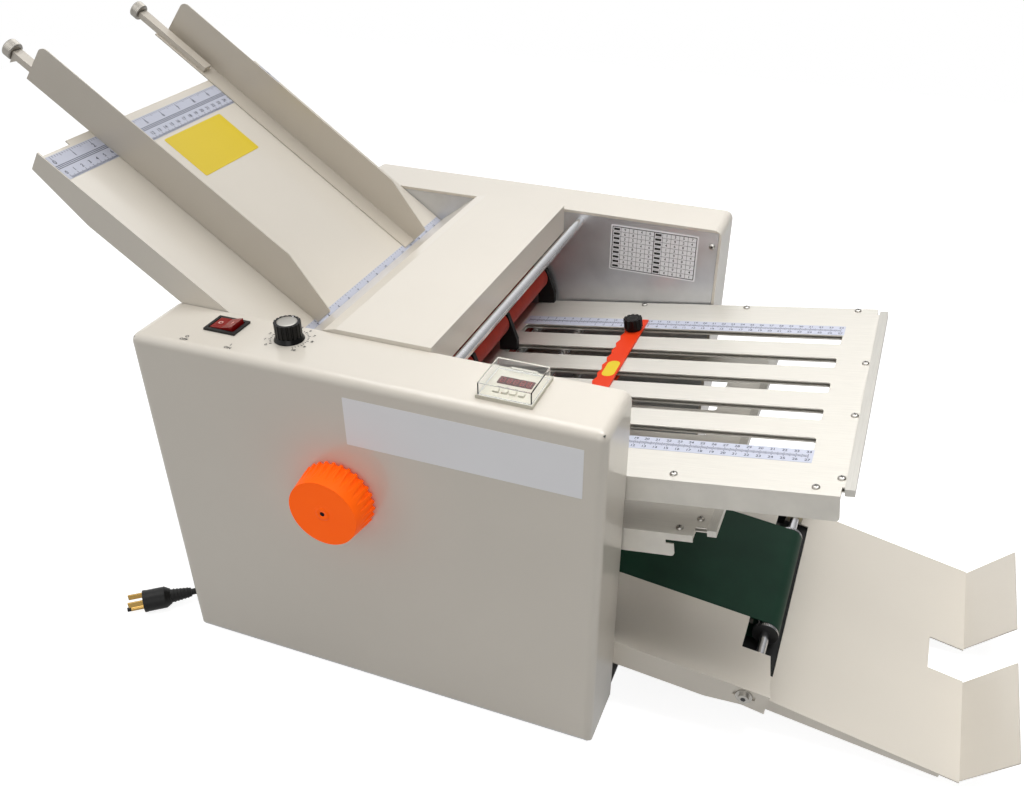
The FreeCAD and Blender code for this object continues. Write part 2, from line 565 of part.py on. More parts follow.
GUIDE_X, GUIDE_Z = PLACES["guide_roller"]
node("guide_roller", move(fuse(*geared_shaft(None, "(-2 * table_slope - 180 / gear_teeth)")),
                          GUIDE_X, "0", GUIDE_Z))
HALF_BRACKET = "(bracket_width / 2)"
middle = cut(rod(GUIDE_X, GUIDE_Z, "roller_radius", "-bracket_y + %s + sleeve_gap" % HALF_BRACKET,
                 "bracket_y - %s - sleeve_gap" % HALF_BRACKET),
             rod(GUIDE_X, GUIDE_Z, "journal_radius", neg(HALF), HALF))
wing = cut(rod(GUIDE_X, GUIDE_Z, "roller_radius", "bracket_y + %s + sleeve_gap" % HALF_BRACKET,
               "bracket_outer_y - %s - sleeve_gap" % HALF_BRACKET),
           rod(GUIDE_X, GUIDE_Z, "journal_radius", neg(HALF), HALF))
node("guide_roller_sleeves", group(middle, *both(wing)))


def hanger(y):
    """Black bracket that carries the guide roller above the upper plate's mouth."""
    foot_x, foot_z = plate_point(1, "-fold_start", "channel_height / 2 + fold_sheet + seat_gap")
    toe_x, toe_z = plate_point(1, "bracket_reach - fold_start", "channel_height / 2 + fold_sheet + seat_gap")
    top = "(%s + bracket_top)" % GUIDE_Z
    left = "(%s - bracket_left)" % GUIDE_X
    right = "(%s + bracket_right)" % GUIDE_X
    outline = [(left, top), (left, "(%s - bracket_left)" % GUIDE_Z),
               (foot_x, "(%s + bracket_right)" % foot_z), (foot_x, foot_z),
               (toe_x, toe_z), (toe_x, "(%s + bracket_right)" % toe_z), (right, top)]
    plate = prism("XZ", outline, "%s - %s" % (y, HALF_BRACKET), "%s + %s" % (y, HALF_BRACKET))
    return cut(plate, rod(GUIDE_X, GUIDE_Z, "journal_radius + running_gap", neg(HALF), HALF))


node("roller_brackets", group(*both(hanger("bracket_y")), *both(hanger("bracket_outer_y"))))

core = [rod("0", "0", "journal_radius", "-inner_width / 2 - plate_thickness - feed_layer - belt_width",
            "inner_width / 2 + bearing_length"),
        rod("0", "0", "feed_roller_radius", "-feed_tyre_half", "feed_tyre_half")]
node("feed_roller", move(fuse(*core, *pulley("feed_pulley_radius", "feed_layer")),
                         PLACES["feed_roller"][0], "0", PLACES["feed_roller"][1]))


# Fold plates, in a frame on the paper channel with +X along the plate and +Z off its face.
FACE = "(channel_height / 2 + fold_sheet)"
FOLD_EDGE = "fold_half_width"


def slot_row(length):
    """Rounded slots through both sheets, side by side across the plate."""
    slots = []
    for k in range(int(SIZES["slot_count"])):
        y = "(%d - (slot_count - 1) / 2) * slot_pitch" % k
        low, high = "(%s - slot_width / 2)" % y, "(%s + slot_width / 2)" % y
        slot = prism("XY", [("0", low), (length, low), (length, high), ("0", high)],
                     "-%s - overrun" % FACE, "%s + overrun" % FACE)
        slots.append(rounded(slot, "slot_radius", lambda e: along(e, "Z")))
    return slots


def on_plate(item, index):
    """Lay a piece made in the fold plate's frame on the plate of the given nip."""
    x, z = plate_point(index, "0", "0")
    return move(turn(item, (0, 1, 0), "-plate_slope"), x, "0", z)


def fold_plate(length, slot_length, notch, flange):
    """Upper and lower sheet with side strips, slots and hanging side flanges."""
    sheets = [box("-fold_start", length, neg(FOLD_EDGE), FOLD_EDGE, low, high) for low, high in (
        ("channel_height / 2", FACE), (neg(FACE), "-channel_height / 2"))]
    strip = box("-fold_start", "%s - %s" % (length, notch), "%s - side_strip" % FOLD_EDGE, FOLD_EDGE,
                "-channel_height / 2", "channel_height / 2")
    skirt = prism("XZ", flange, "%s - fold_sheet" % FOLD_EDGE, FOLD_EDGE)
    low = number("-fold_flange / 2")
    skirt = rounded(skirt, "hook_lip / 2", lambda e: along(e, "Y") and e.CenterOfMass.z < low)
    corner = box("%s - %s" % (length, notch), "%s + overrun" % length, "%s - notch_width" % FOLD_EDGE,
                 "%s + overrun" % FOLD_EDGE, "-%s - overrun" % FACE, "%s + overrun" % FACE)
    return cut(fuse(*sheets, *both(strip), *both(skirt)), *slot_row(slot_length), *both(corner))


UPPER_SKIRT = [("flange_start", FACE), ("(upper_length - upper_notch)", FACE),
               ("(upper_length - upper_notch)", "-fold_flange"), ("flange_start", "-fold_flange")]
LIP_END = "(lower_length - lower_notch)"
SLOT_TOP = "(%s - hook_lip)" % FACE
SLOT_FOOT = "(%s - hook_lip - hook_slot_height)" % FACE
LOWER_SKIRT = [("flange_start", FACE), (LIP_END, FACE), (LIP_END, SLOT_TOP),
               ("(%s - hook_slot)" % LIP_END, SLOT_TOP), ("(%s - hook_slot)" % LIP_END, SLOT_FOOT),
               ("(%s - hook_slot + hook_lip)" % LIP_END, SLOT_FOOT),
               ("(%s - hook_slot + hook_lip)" % LIP_END, "-fold_flange"), ("flange_start", "-fold_flange")]
node("upper_fold_plate", on_plate(fold_plate("upper_length", "slot_length", "upper_notch", UPPER_SKIRT), 1))
node("lower_fold_plate", on_plate(fold_plate("lower_length", "lower_slot_length", "lower_notch",
                                             LOWER_SKIRT), 3))


def plate_bars(length):
    """End bar and the two lips of the mouth."""
    end = box(length, "%s + bar_width" % length, "-(%s - bar_inset)" % FOLD_EDGE,
              "%s - bar_inset" % FOLD_EDGE, neg(FACE), "%s + bar_rise" % FACE)
    lips = [box("-fold_start - entry_bar", "-fold_start", "-(%s - bar_inset)" % FOLD_EDGE,
                "%s - bar_inset" % FOLD_EDGE, low, high) for low, high in (
                    ("channel_height / 2", FACE), (neg(FACE), "-channel_height / 2"))]
    return [end] + lips


node("fold_plate_bars", group(*[on_plate(group(*plate_bars(length)), index) for index, length in (
    (1, "upper_length"), (3, "lower_length"))]))


# Fold stops: saw-edged bar on the plate with fingers down through the slots, and its clamp knob.
STOP_Z = "(%s + seat_gap)" % FACE


def fold_stop(place):
    outline = []
    teeth = int(2 * SIZES["stop_half_length"] / SIZES["saw_pitch"])
    for k in range(teeth):
        y = "(-stop_half_length + %d * (2 * stop_half_length) / %d)" % (k, teeth)
        outline += [("(%s + saw_depth)" % place, y),
                    (place, "(%s + stop_half_length / %d)" % (y, teeth))]
    outline += [("(%s + saw_depth)" % place, "stop_half_length"),
                ("(%s + stop_width)" % place, "stop_half_length"),
                ("(%s + stop_width)" % place, "-stop_half_length")]
    plate = prism("XY", outline, STOP_Z, "%s + stop_thickness" % STOP_Z)
    fingers = []
    for k in range(int(SIZES["slot_count"])):
        y = "(%d - (slot_count - 1) / 2) * slot_pitch" % k
        fingers.append(box("%s + finger_inset" % place, "%s + finger_inset + stop_thickness" % place,
                           "%s - finger_width / 2" % y, "%s + finger_width / 2" % y,
                           "-finger_depth", "%s + stop_thickness / 2" % STOP_Z))
    hole = post("%s + stop_width / 2" % place, "knob_y", "knob_screw_radius + seat_gap", "0",
                "%s + stop_thickness + overrun" % STOP_Z)
    return cut(fuse(plate, *fingers), hole)


def stop_knob(place):
    low = "(%s + stop_thickness + seat_gap)" % STOP_Z
    grip = fluted("Z", "knob_radius", "%s + knob_skirt" % low, "%s + knob_height" % low,
                  "knob_flute_radius", "knob_flutes")
    skirt = post("0", "0", "knob_radius - knob_flute_radius", low, "%s + knob_skirt" % low)
    stem = post("0", "0", "knob_screw_radius", "-channel_height / 2", low)
    return move(fuse(grip, skirt, stem), "%s + stop_width / 2" % place, "knob_y", "0")


for name, index, place in (("upper", 1, "stop_place"), ("lower", 3, "lower_stop_place")):
    node(name + "_fold_stop", on_plate(fold_stop(place), index))
    node(name + "_stop_knob", on_plate(group(stop_knob(place)), index))


# Feed table and side guides, in a frame on the table's top edge with +X down the slope.
def on_table(item):
    return move(turn(item, (0, 1, 0), "table_slope"), "table_top_x", "0", "table_top_z")


TABLE_EDGE = "(table_width / 2)"
deck = box("0", "table_length", neg(TABLE_EDGE), TABLE_EDGE, "-sheet_thickness", "0")
relief = box("-overrun", "relief_depth", "%s - relief_inset - relief_width" % TABLE_EDGE,
             "%s - relief_inset" % TABLE_EDGE, "-sheet_thickness - overrun", "overrun")
flange = prism("XZ", [("0", "0"), ("table_length", "0"), ("table_length", "-table_flange"),
                      ("table_flange_run", "-table_flange"), ("0", "-table_end_flange")],
               "%s - sheet_thickness" % TABLE_EDGE, TABLE_EDGE)
node("feed_table", on_table(fuse(cut(deck, *both(relief)), *both(flange))))

BLADE_FOOT = "seat_gap"
ARM_FOOT = "(seat_gap + guide_sheet)"
ARM_AXIS = "(%s + arm_height / 2)" % ARM_FOOT


def side_guide():
    """Tall fence with its foot flange and the clamp channel that grips the table's top edge."""
    fence = prism("XZ", [("-guide_head", BLADE_FOOT), ("guide_foot", BLADE_FOOT),
                         ("(guide_foot + guide_nose)", "guide_nose_height"),
                         ("guide_shoulder", "guide_height"), ("(-guide_head + guide_nose)", "guide_height")],
                  "guide_y", "guide_y + guide_sheet")
    head = -number("guide_head") + 2 * number("guide_nose")
    fence = rounded(fence, "guide_corner", lambda e: along(e, "Y") and e.CenterOfMass.x < head
                    and e.CenterOfMass.z > number("guide_corner"))
    foot_flange = box("-guide_head", "guide_foot", "guide_y - guide_flange", "guide_y + guide_sheet / 2",
                      BLADE_FOOT, ARM_FOOT)
    arm = box("-arm_head", "-arm_foot", "arm_y - arm_width / 2", "arm_y + arm_width / 2",
              "%s - guide_sheet / 2" % ARM_FOOT, "%s + arm_height" % ARM_FOOT)
    trough = box("-arm_head + arm_wall", "-guide_head - overrun", "arm_y - arm_width / 2 + arm_wall",
                 "arm_y + arm_width / 2 - arm_wall", "0", "%s + arm_height - arm_wall" % ARM_FOOT)
    hook = prism("XZ", [("-arm_head", ARM_AXIS), ("(-arm_head + hook_length)", ARM_AXIS),
                        ("-arm_head", "(%s - arm_height / 2 - hook_drop)" % ARM_AXIS)],
                 "arm_y + arm_width / 2 - arm_wall", "arm_y + arm_width / 2")
    eye = bar("arm_y", ARM_AXIS, "screw_stem_radius + running_gap", "-arm_head - overrun",
              "-arm_head + arm_wall + overrun")
    return fuse(fence, foot_flange, cut(fuse(cut(arm, trough), hook), eye))


def guide_screw():
    head = bar("arm_y", ARM_AXIS, "screw_head_radius", "-arm_head - seat_gap - screw_head_length",
               "-arm_head - seat_gap")
    stem = bar("arm_y", ARM_AXIS, "screw_stem_radius", "-arm_head - seat_gap",
               "-arm_head + screw_stem_length")
    return fuse(head, stem)


node("rear_side_guide", on_table(side_guide()))
node("front_side_guide", on_table(mirrored(side_guide())))
node("rear_guide_screw", on_table(guide_screw()))
node("front_guide_screw", on_table(mirrored(guide_screw())))

pad = box("feed_roller_run - pad_length / 2", "feed_roller_run + pad_length / 2", "-pad_width / 2",
          "pad_width / 2", "feed_stand_out + seat_gap", "feed_stand_out + seat_gap + pad_height")
node("retard_pad", on_table(group(pad)))

# Centre cover: one bent sheet between the side plates.
HOOD = [("hood_lip_x", "hood_lip_z"), ("hood_ridge_x", "hood_ridge_z"), ("hood_top_x", "hood_top_z"),
        ("hood_end_x", "hood_top_z"), ("hood_end_x", "(hood_top_z - hood_drop)")]
SKIN = "sheet_thickness"
INSIDE = [("(hood_end_x - %s)" % SKIN, "(hood_top_z - hood_drop)"),
          ("(hood_end_x - %s)" % SKIN, "(hood_top_z - %s)" % SKIN),
          ("hood_top_x", "(hood_top_z - %s)" % SKIN),
          ("(hood_ridge_x + %s / 2)" % SKIN, "(hood_ridge_z - %s)" % SKIN),
          ("(hood_lip_x + %s)" % SKIN, "(hood_lip_z - %s)" % SKIN)]
hood = prism("XZ", HOOD + INSIDE, "-(%s - seat_gap)" % INNER, "%s - seat_gap" % INNER)
node("centre_cover", hood)


# Delivery frame, in a frame on its own top face with +X down the slope.
def on_frame(item):
    return move(turn(item, (0, 1, 0), "frame_slope"), "frame_x", "0", "frame_z")


RIM = "(inner_width / 2 - seat_gap)"
corners = [("-frame_back", neg(RIM)), ("arm_end", neg(RIM)), ("arm_inner_end", "-arm_inner_y"),
           ("arm_root", "-arm_inner_y"), ("arm_root", "-window_half"), ("-window_back", "-window_half"),
           ("-window_back", "window_half"), ("arm_root", "window_half"), ("arm_root", "arm_inner_y"),
           ("arm_inner_end", "arm_inner_y"), ("arm_end", RIM), ("-frame_back", RIM)]
bed = prism("XY", corners, "-sheet_thickness", "0")
apron = prism("XZ", [("-frame_back", "0"), ("arm_end", "0"), ("frame_flange_end", "-frame_flange_end_drop"),
                     ("frame_flange_mid", "-frame_flange_mid_drop"), ("-frame_back", "-frame_flange")],
              "%s - sheet_thickness" % RIM, RIM)
lug = box("arm_root", "arm_inner_end", "arm_inner_y", "arm_inner_y + sheet_thickness", "-inner_flange",
          "-sheet_thickness / 2")
ROLLER_Z = "(-conveyor_drop)"
seat = rod("end_roller_run", ROLLER_Z, "end_bearing_radius", neg(HALF), HALF)
passage = rod("drive_roller_run", ROLLER_Z, "journal_radius + edge_radius", neg(HALF), HALF)
slot = box("tray_slot_run - tray_slot_length / 2", "tray_slot_run + tray_slot_length / 2",
           "%s - sheet_thickness - overrun" % RIM, "%s + overrun" % RIM,
           "-tray_slot_drop - tray_slot_height / 2", "-tray_slot_drop + tray_slot_height / 2")
node("delivery_frame", on_frame(fuse(bed, *both(cut(apron, slot, passage)), *both(cut(lug, seat)))))
END_X, END_Z = END_ROLLER
block = cut(rod(END_X, END_Z, "end_bearing_radius", "arm_inner_y - end_bearing_width / 2",
                "arm_inner_y + end_bearing_width"),
            rod(END_X, END_Z, "journal_radius + running_gap", neg(HALF), HALF))
node("end_roller_bearings", group(*both(block)))

# The conveyor's two rollers.
def conveyor_roller(low, high):
    """Drum with a collar at each side that keeps the belt on, and its spindle."""
    drum = rod("0", "0", "conveyor_radius", "-conveyor_half", "conveyor_half")
    collar = rod("0", "0", "collar_radius", "conveyor_half + edge_radius",
                 "conveyor_half + edge_radius + collar_width")
    return [drum, *both(collar), rod("0", "0", "journal_radius", low, high)]


SPINDLE_END = "(arm_inner_y + end_bearing_width)"
DRIVE_X, DRIVE_Z = PLACES["delivery_drive_roller"]
node("delivery_end_roller", move(fuse(*conveyor_roller(neg(SPINDLE_END), SPINDLE_END)), END_X, "0", END_Z))
driven = conveyor_roller("-inner_width / 2 - plate_thickness - feed_layer - belt_width",
                         "inner_width / 2 + bearing_length")
node("delivery_drive_roller", move(fuse(*driven, *pulley("small_pulley_radius", "feed_layer")),
                                   DRIVE_X, "0", DRIVE_Z))


# Belts: closed loops round two pulleys.
def loop_wire(start, start_radius, end, end_radius):
    """Tangent loop round two circles in the XZ plane at y = 0."""
    way = end - start
    heading = math.atan2(way.z, way.x)
    lean = math.acos((start_radius - end_radius) / way.Length)

    def rim(centre, radius, angle):
        return centre + FreeCAD.Vector(radius * math.cos(angle), 0, radius * math.sin(angle))

    upper = [rim(start, start_radius, heading + lean), rim(end, end_radius, heading + lean)]
    lower = [rim(end, end_radius, heading - lean), rim(start, start_radius, heading - lean)]
    nose = Part.Arc(upper[1], rim(end, end_radius, heading), lower[0]).toShape()
    tail = Part.Arc(lower[1], rim(start, start_radius, heading + math.pi), upper[0]).toShape()
    return Part.Wire([Part.makeLine(*upper), nose, Part.makeLine(*lower), tail])


def belt(start, start_radius, end, end_radius, thickness, low, high):
    item = doc.addObject("Part::Feature", "belt")
    centres = [FreeCAD.Vector(number(x), number(low), number(z)) for x, z in (start, end)]
    radii = [number(start_radius) + number("seat_gap"), number(end_radius) + number("seat_gap")]
    thick = number(thickness)
    inner = loop_wire(centres[0], radii[0], centres[1], radii[1])
    outer = loop_wire(centres[0], radii[0] + thick, centres[1], radii[1] + thick)
    length = FreeCAD.Vector(0, number(high) - number(low), 0)
    item.Shape = Part.Face(outer).cut(Part.Face(inner)).Faces[0].extrude(length)
    return item


def belt_at(layer, start, start_radius, end, end_radius):
    middle = "(-inner_width / 2 - plate_thickness - %s)" % layer
    return belt(start, start_radius, end, end_radius, "belt_thickness", "%s - belt_width / 2" % middle,
                "%s + belt_width / 2" % middle)


MOTOR = ("motor_x", "motor_z")
node("drive_belts", group(
    belt_at("motor_layer", MOTOR, "small_pulley_radius", PLACES["main_shaft"], "drive_pulley_radius"),
    belt_at("feed_layer", PLACES["main_shaft"], "small_pulley_radius", PLACES["feed_roller"],
            "feed_pulley_radius"),
    belt_at("feed_layer", PLACES["fold_roller_6"], "small_pulley_radius",
            PLACES["delivery_drive_roller"], "small_pulley_radius")))
node("delivery_belt", belt(PLACES["delivery_drive_roller"], "conveyor_radius", END_ROLLER, "conveyor_radius",
                           "edge_radius", "-conveyor_half", "conveyor_half"))

# Motor behind the front side plate, and its pulley.
flange = box("motor_x - motor_flange / 2", "motor_x + motor_flange / 2", neg(INNER),
             "-inner_width / 2 + motor_flange_thickness", "motor_z - motor_flange / 2",
             "motor_z + motor_flange / 2")
MOTOR_END = "(-inner_width / 2 + motor_length)"
body = rod("motor_x", "motor_z", "motor_radius", neg(INNER), MOTOR_END)
cap = rod("motor_x", "motor_z", "motor_cap_radius", MOTOR_END, "%s + motor_cap" % MOTOR_END)
ROTOR_IN = "(-inner_width / 2 + rotor_start)"
ROTOR_OUT = "(%s + rotor_length)" % ROTOR_IN
bore = rod("motor_x", "motor_z", "journal_radius + running_gap", "-%s - overrun" % INNER,
           "%s + bearing_length" % ROTOR_OUT)
chamber = rod("motor_x", "motor_z", "rotor_radius + edge_radius", ROTOR_IN, ROTOR_OUT)
node("motor", cut(fuse(flange, body, cap), bore, chamber))
shaft = rod("0", "0", "journal_radius", "-inner_width / 2 - plate_thickness - motor_layer - belt_width",
            "%s + bearing_length - seat_gap" % ROTOR_OUT)
rotor = rod("0", "0", "rotor_radius", "%s + edge_radius" % ROTOR_IN, "%s - edge_radius" % ROTOR_OUT)
node("motor_pulley", move(fuse(shaft, rotor, *pulley("small_pulley_radius", "motor_layer")),
                          "motor_x", "0", "motor_z"))


# Delivery tray, in a frame on its own top face with +X down the slope.
def on_tray(item):
    return move(turn(item, (0, 1, 0), "tray_slope"), "tray_x", "0", "tray_z")


half = [("-tongue_reach", "tongue_inner_y"), ("-tongue_reach", "tongue_outer_y"), ("0", "tongue_outer_y"),
        ("0", "tray_half_width"), ("tray_length", "tray_half_width"), ("tray_length", "tray_notch_half"),
        ("(tray_length - tray_notch)", "tray_notch_half")]
other = [(x, neg(y)) for x, y in reversed(half)]
pan = prism("XY", [("0", "tongue_inner_y")] + half + other + [("0", "-tongue_inner_y")],
            "-sheet_thickness", "0")
lip = prism("XZ", [("sheet_thickness", "0"), ("tray_flange_run", "0"),
                   ("tray_flange_run", "-tray_flange_end"), ("sheet_thickness", "-tray_flange")],
            "tray_half_width - sheet_thickness", "tray_half_width")
cheek = prism("XZ", [("-tongue_reach", "-sheet_thickness"), ("-edge_radius", "-sheet_thickness"),
                     ("-edge_radius", "tongue_rise"), ("-tongue_reach", "tongue_low_rise")],
              "tongue_outer_y - sheet_thickness", "tongue_outer_y")
EAR = "(ear_angle + tray_slope)"
ear = prism("XZ", [("(tray_length - sheet_thickness)", "0"), ("tray_length", "-sheet_thickness"),
                   ("(tray_length + ear_length * cos(%s) + sheet_thickness * sin(%s))" % (EAR, EAR),
                    "(ear_length * sin(%s) - sheet_thickness * cos(%s))" % (EAR, EAR)),
                   ("(tray_length + ear_length * cos(%s))" % EAR, "(ear_length * sin(%s))" % EAR),
                   ("tray_length", "0")],
            "tray_notch_half + ear_gap", "tray_half_width - ear_gap")
SCREW_X, SCREW_Z = frame_point("tray_slot_run", "-tray_slot_drop")
tray = on_tray(fuse(pan, *both(lip), *both(cheek), *both(ear)))
node("delivery_tray", cut(tray, rod(SCREW_X, SCREW_Z, "tray_screw_radius", neg(HALF), HALF)))
WASHER_OUT = "(%s + seat_gap + washer_thickness)" % RIM
screw = fuse(rod(SCREW_X, SCREW_Z, "tray_screw_radius", "tongue_outer_y - 2 * sheet_thickness", WASHER_OUT),
             rod(SCREW_X, SCREW_Z, "washer_radius", "%s + seat_gap" % RIM, WASHER_OUT),
             rod(SCREW_X, SCREW_Z, "screw_cap_radius", WASHER_OUT, "%s + screw_cap_height" % WASHER_OUT))
node("tray_screws", group(*both(screw)))

# Paper guides: bent sheets between the side plates that steer the sheet round the stack.
GUIDE_END = "(inner_width / 2 - seat_gap)"


def deflector(index):
    """Bent sheet round the left side of a fold roller."""
    x, z = roller_place(index)
    ring = cut(rod(x, z, "roller_radius + 2 * sheet_thickness", neg(GUIDE_END), GUIDE_END),
               rod(x, z, "roller_radius + sheet_thickness", neg(HALF), HALF))
    return cut(ring, box("%s - roller_radius / 2" % x, "%s + 2 * roller_radius" % x, neg(HALF), HALF,
                         "%s - 2 * roller_radius" % z, "%s + 2 * roller_radius" % z))


def chute(start, end):
    """Flat guide sheet between two points of the side view."""
    (x0, z0), (x1, z1) = start, end
    return prism("XZ", [(x0, z0), (x1, z1), (x1, "(%s - sheet_thickness)" % z1),
                        (x0, "(%s - sheet_thickness)" % z0)], neg(GUIDE_END), GUIDE_END)


FEED_X, FEED_Z = PLACES["feed_roller"]
R1_X, R1_Z = PLACES["fold_roller_1"]
R6_X, R6_Z = PLACES["fold_roller_6"]
inlet = chute(("(%s + feed_roller_radius + feed_tyre_half / 2)" % FEED_X, "(%s - edge_radius)" % FEED_Z),
              ("(%s - roller_radius - sheet_thickness)" % R1_X, "(%s - journal_radius)" % R1_Z))
outlet = chute(("(%s + roller_radius + 2 * sheet_thickness)" % R6_X, "(%s + journal_radius)" % R6_Z),
               frame_point("-frame_back - 2 * sheet_thickness", "2 * sheet_thickness"))
node("paper_guides", group(deflector(3), deflector(5), inlet, outlet))

# Power switch: housing through the cover's top, and its rocker.
NECK_X = "(switch_length / 2 - switch_wall / 2 - seat_gap)"
NECK_Y = "(switch_width / 2 - switch_wall / 2 - seat_gap)"
WELL_X = "(rocker_length / 2 + well_margin)"
WELL_Y = "(rocker_width / 2 + rocker_gap)"


def around(x, y, half_x, half_y, low, high):
    return box("%s - %s" % (x, half_x), "%s + %s" % (x, half_x), "%s - %s" % (y, half_y),
               "%s + %s" % (y, half_y), low, high)


bezel = around("switch_x", "switch_y", "switch_length / 2", "switch_width / 2",
               TOP, "%s + bezel_height" % TOP)
neck = around("switch_x", "switch_y", NECK_X, NECK_Y,
              "%s - switch_depth" % TOP, "%s + bezel_height / 2" % TOP)
well = around("switch_x", "switch_y", WELL_X, WELL_Y,
              "%s - well_depth" % TOP, "%s + bezel_height + overrun" % TOP)
node("switch_housing", cut(fuse(bezel, neck), well))
outline = [("-rocker_length / 2", "-rocker_root"), ("0", "-2 * rocker_root"),
           ("rocker_length / 2", "-rocker_root"), ("rocker_length / 2", "rocker_high"),
           ("0", "(rocker_low + rocker_gap)"), ("-rocker_length / 2", "rocker_low")]
paddle = prism("XZ", outline, "switch_y - rocker_width / 2", "switch_y + rocker_width / 2")
node("switch_rocker", move(group(paddle), "switch_x", "0", TOP))

# Speed dial on the control board's own spindle.
UNDER_TOP = "(%s - cover_wall)" % TOP
BOARD_TOP = "(%s - board_drop)" % UNDER_TOP
board = box("dial_x - board_width / 2", "dial_x - board_width / 2 + board_length", "dial_y - board_width / 2",
            "dial_y + board_width / 2 - cover_wall", "%s - board_thickness" % BOARD_TOP, BOARD_TOP)
pot = post("dial_x", "dial_y", "pot_radius", BOARD_TOP, UNDER_TOP)
stem = post("dial_x", "dial_y", "spindle_radius", UNDER_TOP, "%s + spindle_rise" % TOP)
block = box("dial_x + board_width / 2", "dial_x + board_width / 2 + 2 * part_height", "dial_y - part_height",
            "dial_y + part_height", BOARD_TOP, "%s + part_height" % BOARD_TOP)
node("control_board", fuse(board, pot, stem, block))
grip = fluted("Z", "dial_top_radius", "dial_skirt", "dial_height", "dial_flute_radius", "dial_flutes")
skirt = move(cone("Z", "dial_radius", "dial_top_radius", "0", "dial_skirt"), "0", "0", "0")
socket = post("0", "0", "spindle_radius + running_gap", "-overrun", "spindle_rise + overrun")
node("speed_knob", move(cut(fuse(grip, skirt), socket), "dial_x", "dial_y", "%s + seat_gap" % TOP))

# Sheet counter: body through the cover's top, four keys and a hinged clear cover.
RISE = "(%s + counter_rise)" % TOP
frame = around("counter_x", "counter_y", "counter_size / 2", "counter_size / 2", TOP, RISE)
neck = around("counter_x", "counter_y", "(counter_neck / 2 - seat_gap)", "(counter_neck / 2 - seat_gap)",
              "%s - counter_depth" % TOP, "%s + counter_rise / 2" % TOP)
display = around("counter_x", "display_y", "display_length / 2", "display_width / 2",
                 "%s - edge_radius" % RISE, "%s + overrun" % RISE)
KEY_X = ["(counter_x + %d * key_pitch / 2)" % k for k in (-3, -1, 1, 3)]
WELL = "(key_size / 2 + key_gap)"
wells = [around(x, "key_y", WELL, WELL, "%s - key_well" % RISE, "%s + overrun" % RISE) for x in KEY_X]
node("counter_body", cut(fuse(frame, neck), display, *wells))
for k, x in enumerate(KEY_X, start=1):
    key = around(x, "key_y", "key_size / 2", "key_size / 2", "%s - key_well + key_gap + key_travel" % RISE,
                 "%s + key_height" % RISE)
    node("counter_key_%d" % k, group(key))
EDGE = "(counter_size / 2 - window_hinge_radius)"
LOW = "(%s + seat_gap)" % RISE
shell = prism("XZ", [("(counter_x - %s)" % EDGE, LOW), ("(counter_x + %s)" % EDGE, LOW),
                     ("(counter_x + %s)" % EDGE, "(%s + window_height)" % RISE),
                     ("(counter_x - %s)" % EDGE, "(%s + window_height)" % RISE)],
              "counter_y - %s" % EDGE, "counter_y + %s - 2 * window_hinge_radius" % EDGE)
above = number("%s + window_height / 2" % RISE)
rounded(shell, "window_wall", lambda e: along(e, "Z"))
rounded(shell, "edge_radius", lambda e: min(v.Point.z for v in e.Vertexes) > above)
hollow = box("counter_x - %s + window_wall" % EDGE, "counter_x + %s - window_wall" % EDGE,
             "counter_y - %s + window_wall" % EDGE,
             "counter_y + %s - 2 * window_hinge_radius - window_wall" % EDGE,
             "%s - overrun" % LOW, "%s + window_height - window_wall" % RISE)
HINGE_Y = "(counter_y + %s - window_hinge_radius)" % EDGE
HINGE_Z = "(%s + seat_gap + window_hinge_radius)" % RISE
knuckle = bar(HINGE_Y, HINGE_Z, "window_hinge_radius",
              "counter_x - %s / 2" % EDGE, "counter_x + %s / 2" % EDGE)
node("counter_window", fuse(cut(shell, hollow), knuckle))

# Mains cord: gland, free lead, put-away coil and plug. Every point lies where the cord's axis bends.
gland = fuse(move(cone("-X", "gland_radius", "gland_tip_radius", "0", "gland_length"),
                  "%s - gland_flange" % LEFT, "gland_y", "gland_z"),
             bar("gland_y", "gland_z", "gland_flange_radius", "%s - gland_flange" % LEFT, LEFT),
             bar("gland_y", "gland_z", "gland_neck_radius", LEFT, "%s + 2 * cover_wall" % LEFT),
             bar("gland_y", "gland_z", "gland_radius", "%s + cover_wall" % LEFT,
                 "%s + 2 * cover_wall" % LEFT))
node("cord_gland", gland)
LEAD = [(-242, -184, 32), (-264, -183.5, 30.5), (-284, -167, 26), (-291, -142, 20), (-304, -119, 12),
        (-317, -98, 5.5), (-322.5, -82, 3.5), (-322.5, -64, 3.5)]
TAIL = [(-227.5, -64, 29), (-227.5, -86, 29), (-229, -110, 22), (-232, -134, 14), (-236, -159, 10),
        (-243.3, -184, 12.3), (-262, -199, 12.5)]


def swept(edges):
    """Round tube along runs and arcs, one cylinder or torus face to each; prints its length."""
    first = edges[0]
    ring = Part.makeCircle(number("cord_radius"), first.valueAt(first.FirstParameter),
                           first.tangentAt(first.FirstParameter))
    faces = [Part.Face(Part.Wire(ring))]
    for edge in edges:
        if isinstance(edge.Curve, Part.Line):
            run = edge.valueAt(edge.LastParameter) - edge.valueAt(edge.FirstParameter)
            faces.append(ring.extrude(run))
            ring = ring.translated(run)
        else:
            bend = edge.Curve
            angle = math.degrees(edge.Length / bend.Radius)
            faces.append(ring.revolve(bend.Center, bend.Axis, angle))
            ring = ring.rotated(bend.Center, bend.Axis, angle)
    faces.append(Part.Face(Part.Wire(ring)))
    shell = Part.makeShell(faces)
    shell.sewShape()
    solid = Part.makeSolid(shell)
    if solid.Volume < 0:
        solid.reverse()
    length = sum(edge.Length for edge in edges)
    share = solid.Volume / (math.pi * number("cord_radius") ** 2 * length)
    print("tube length", round(length, 1), "volume share", round(share, 4))
    return solid


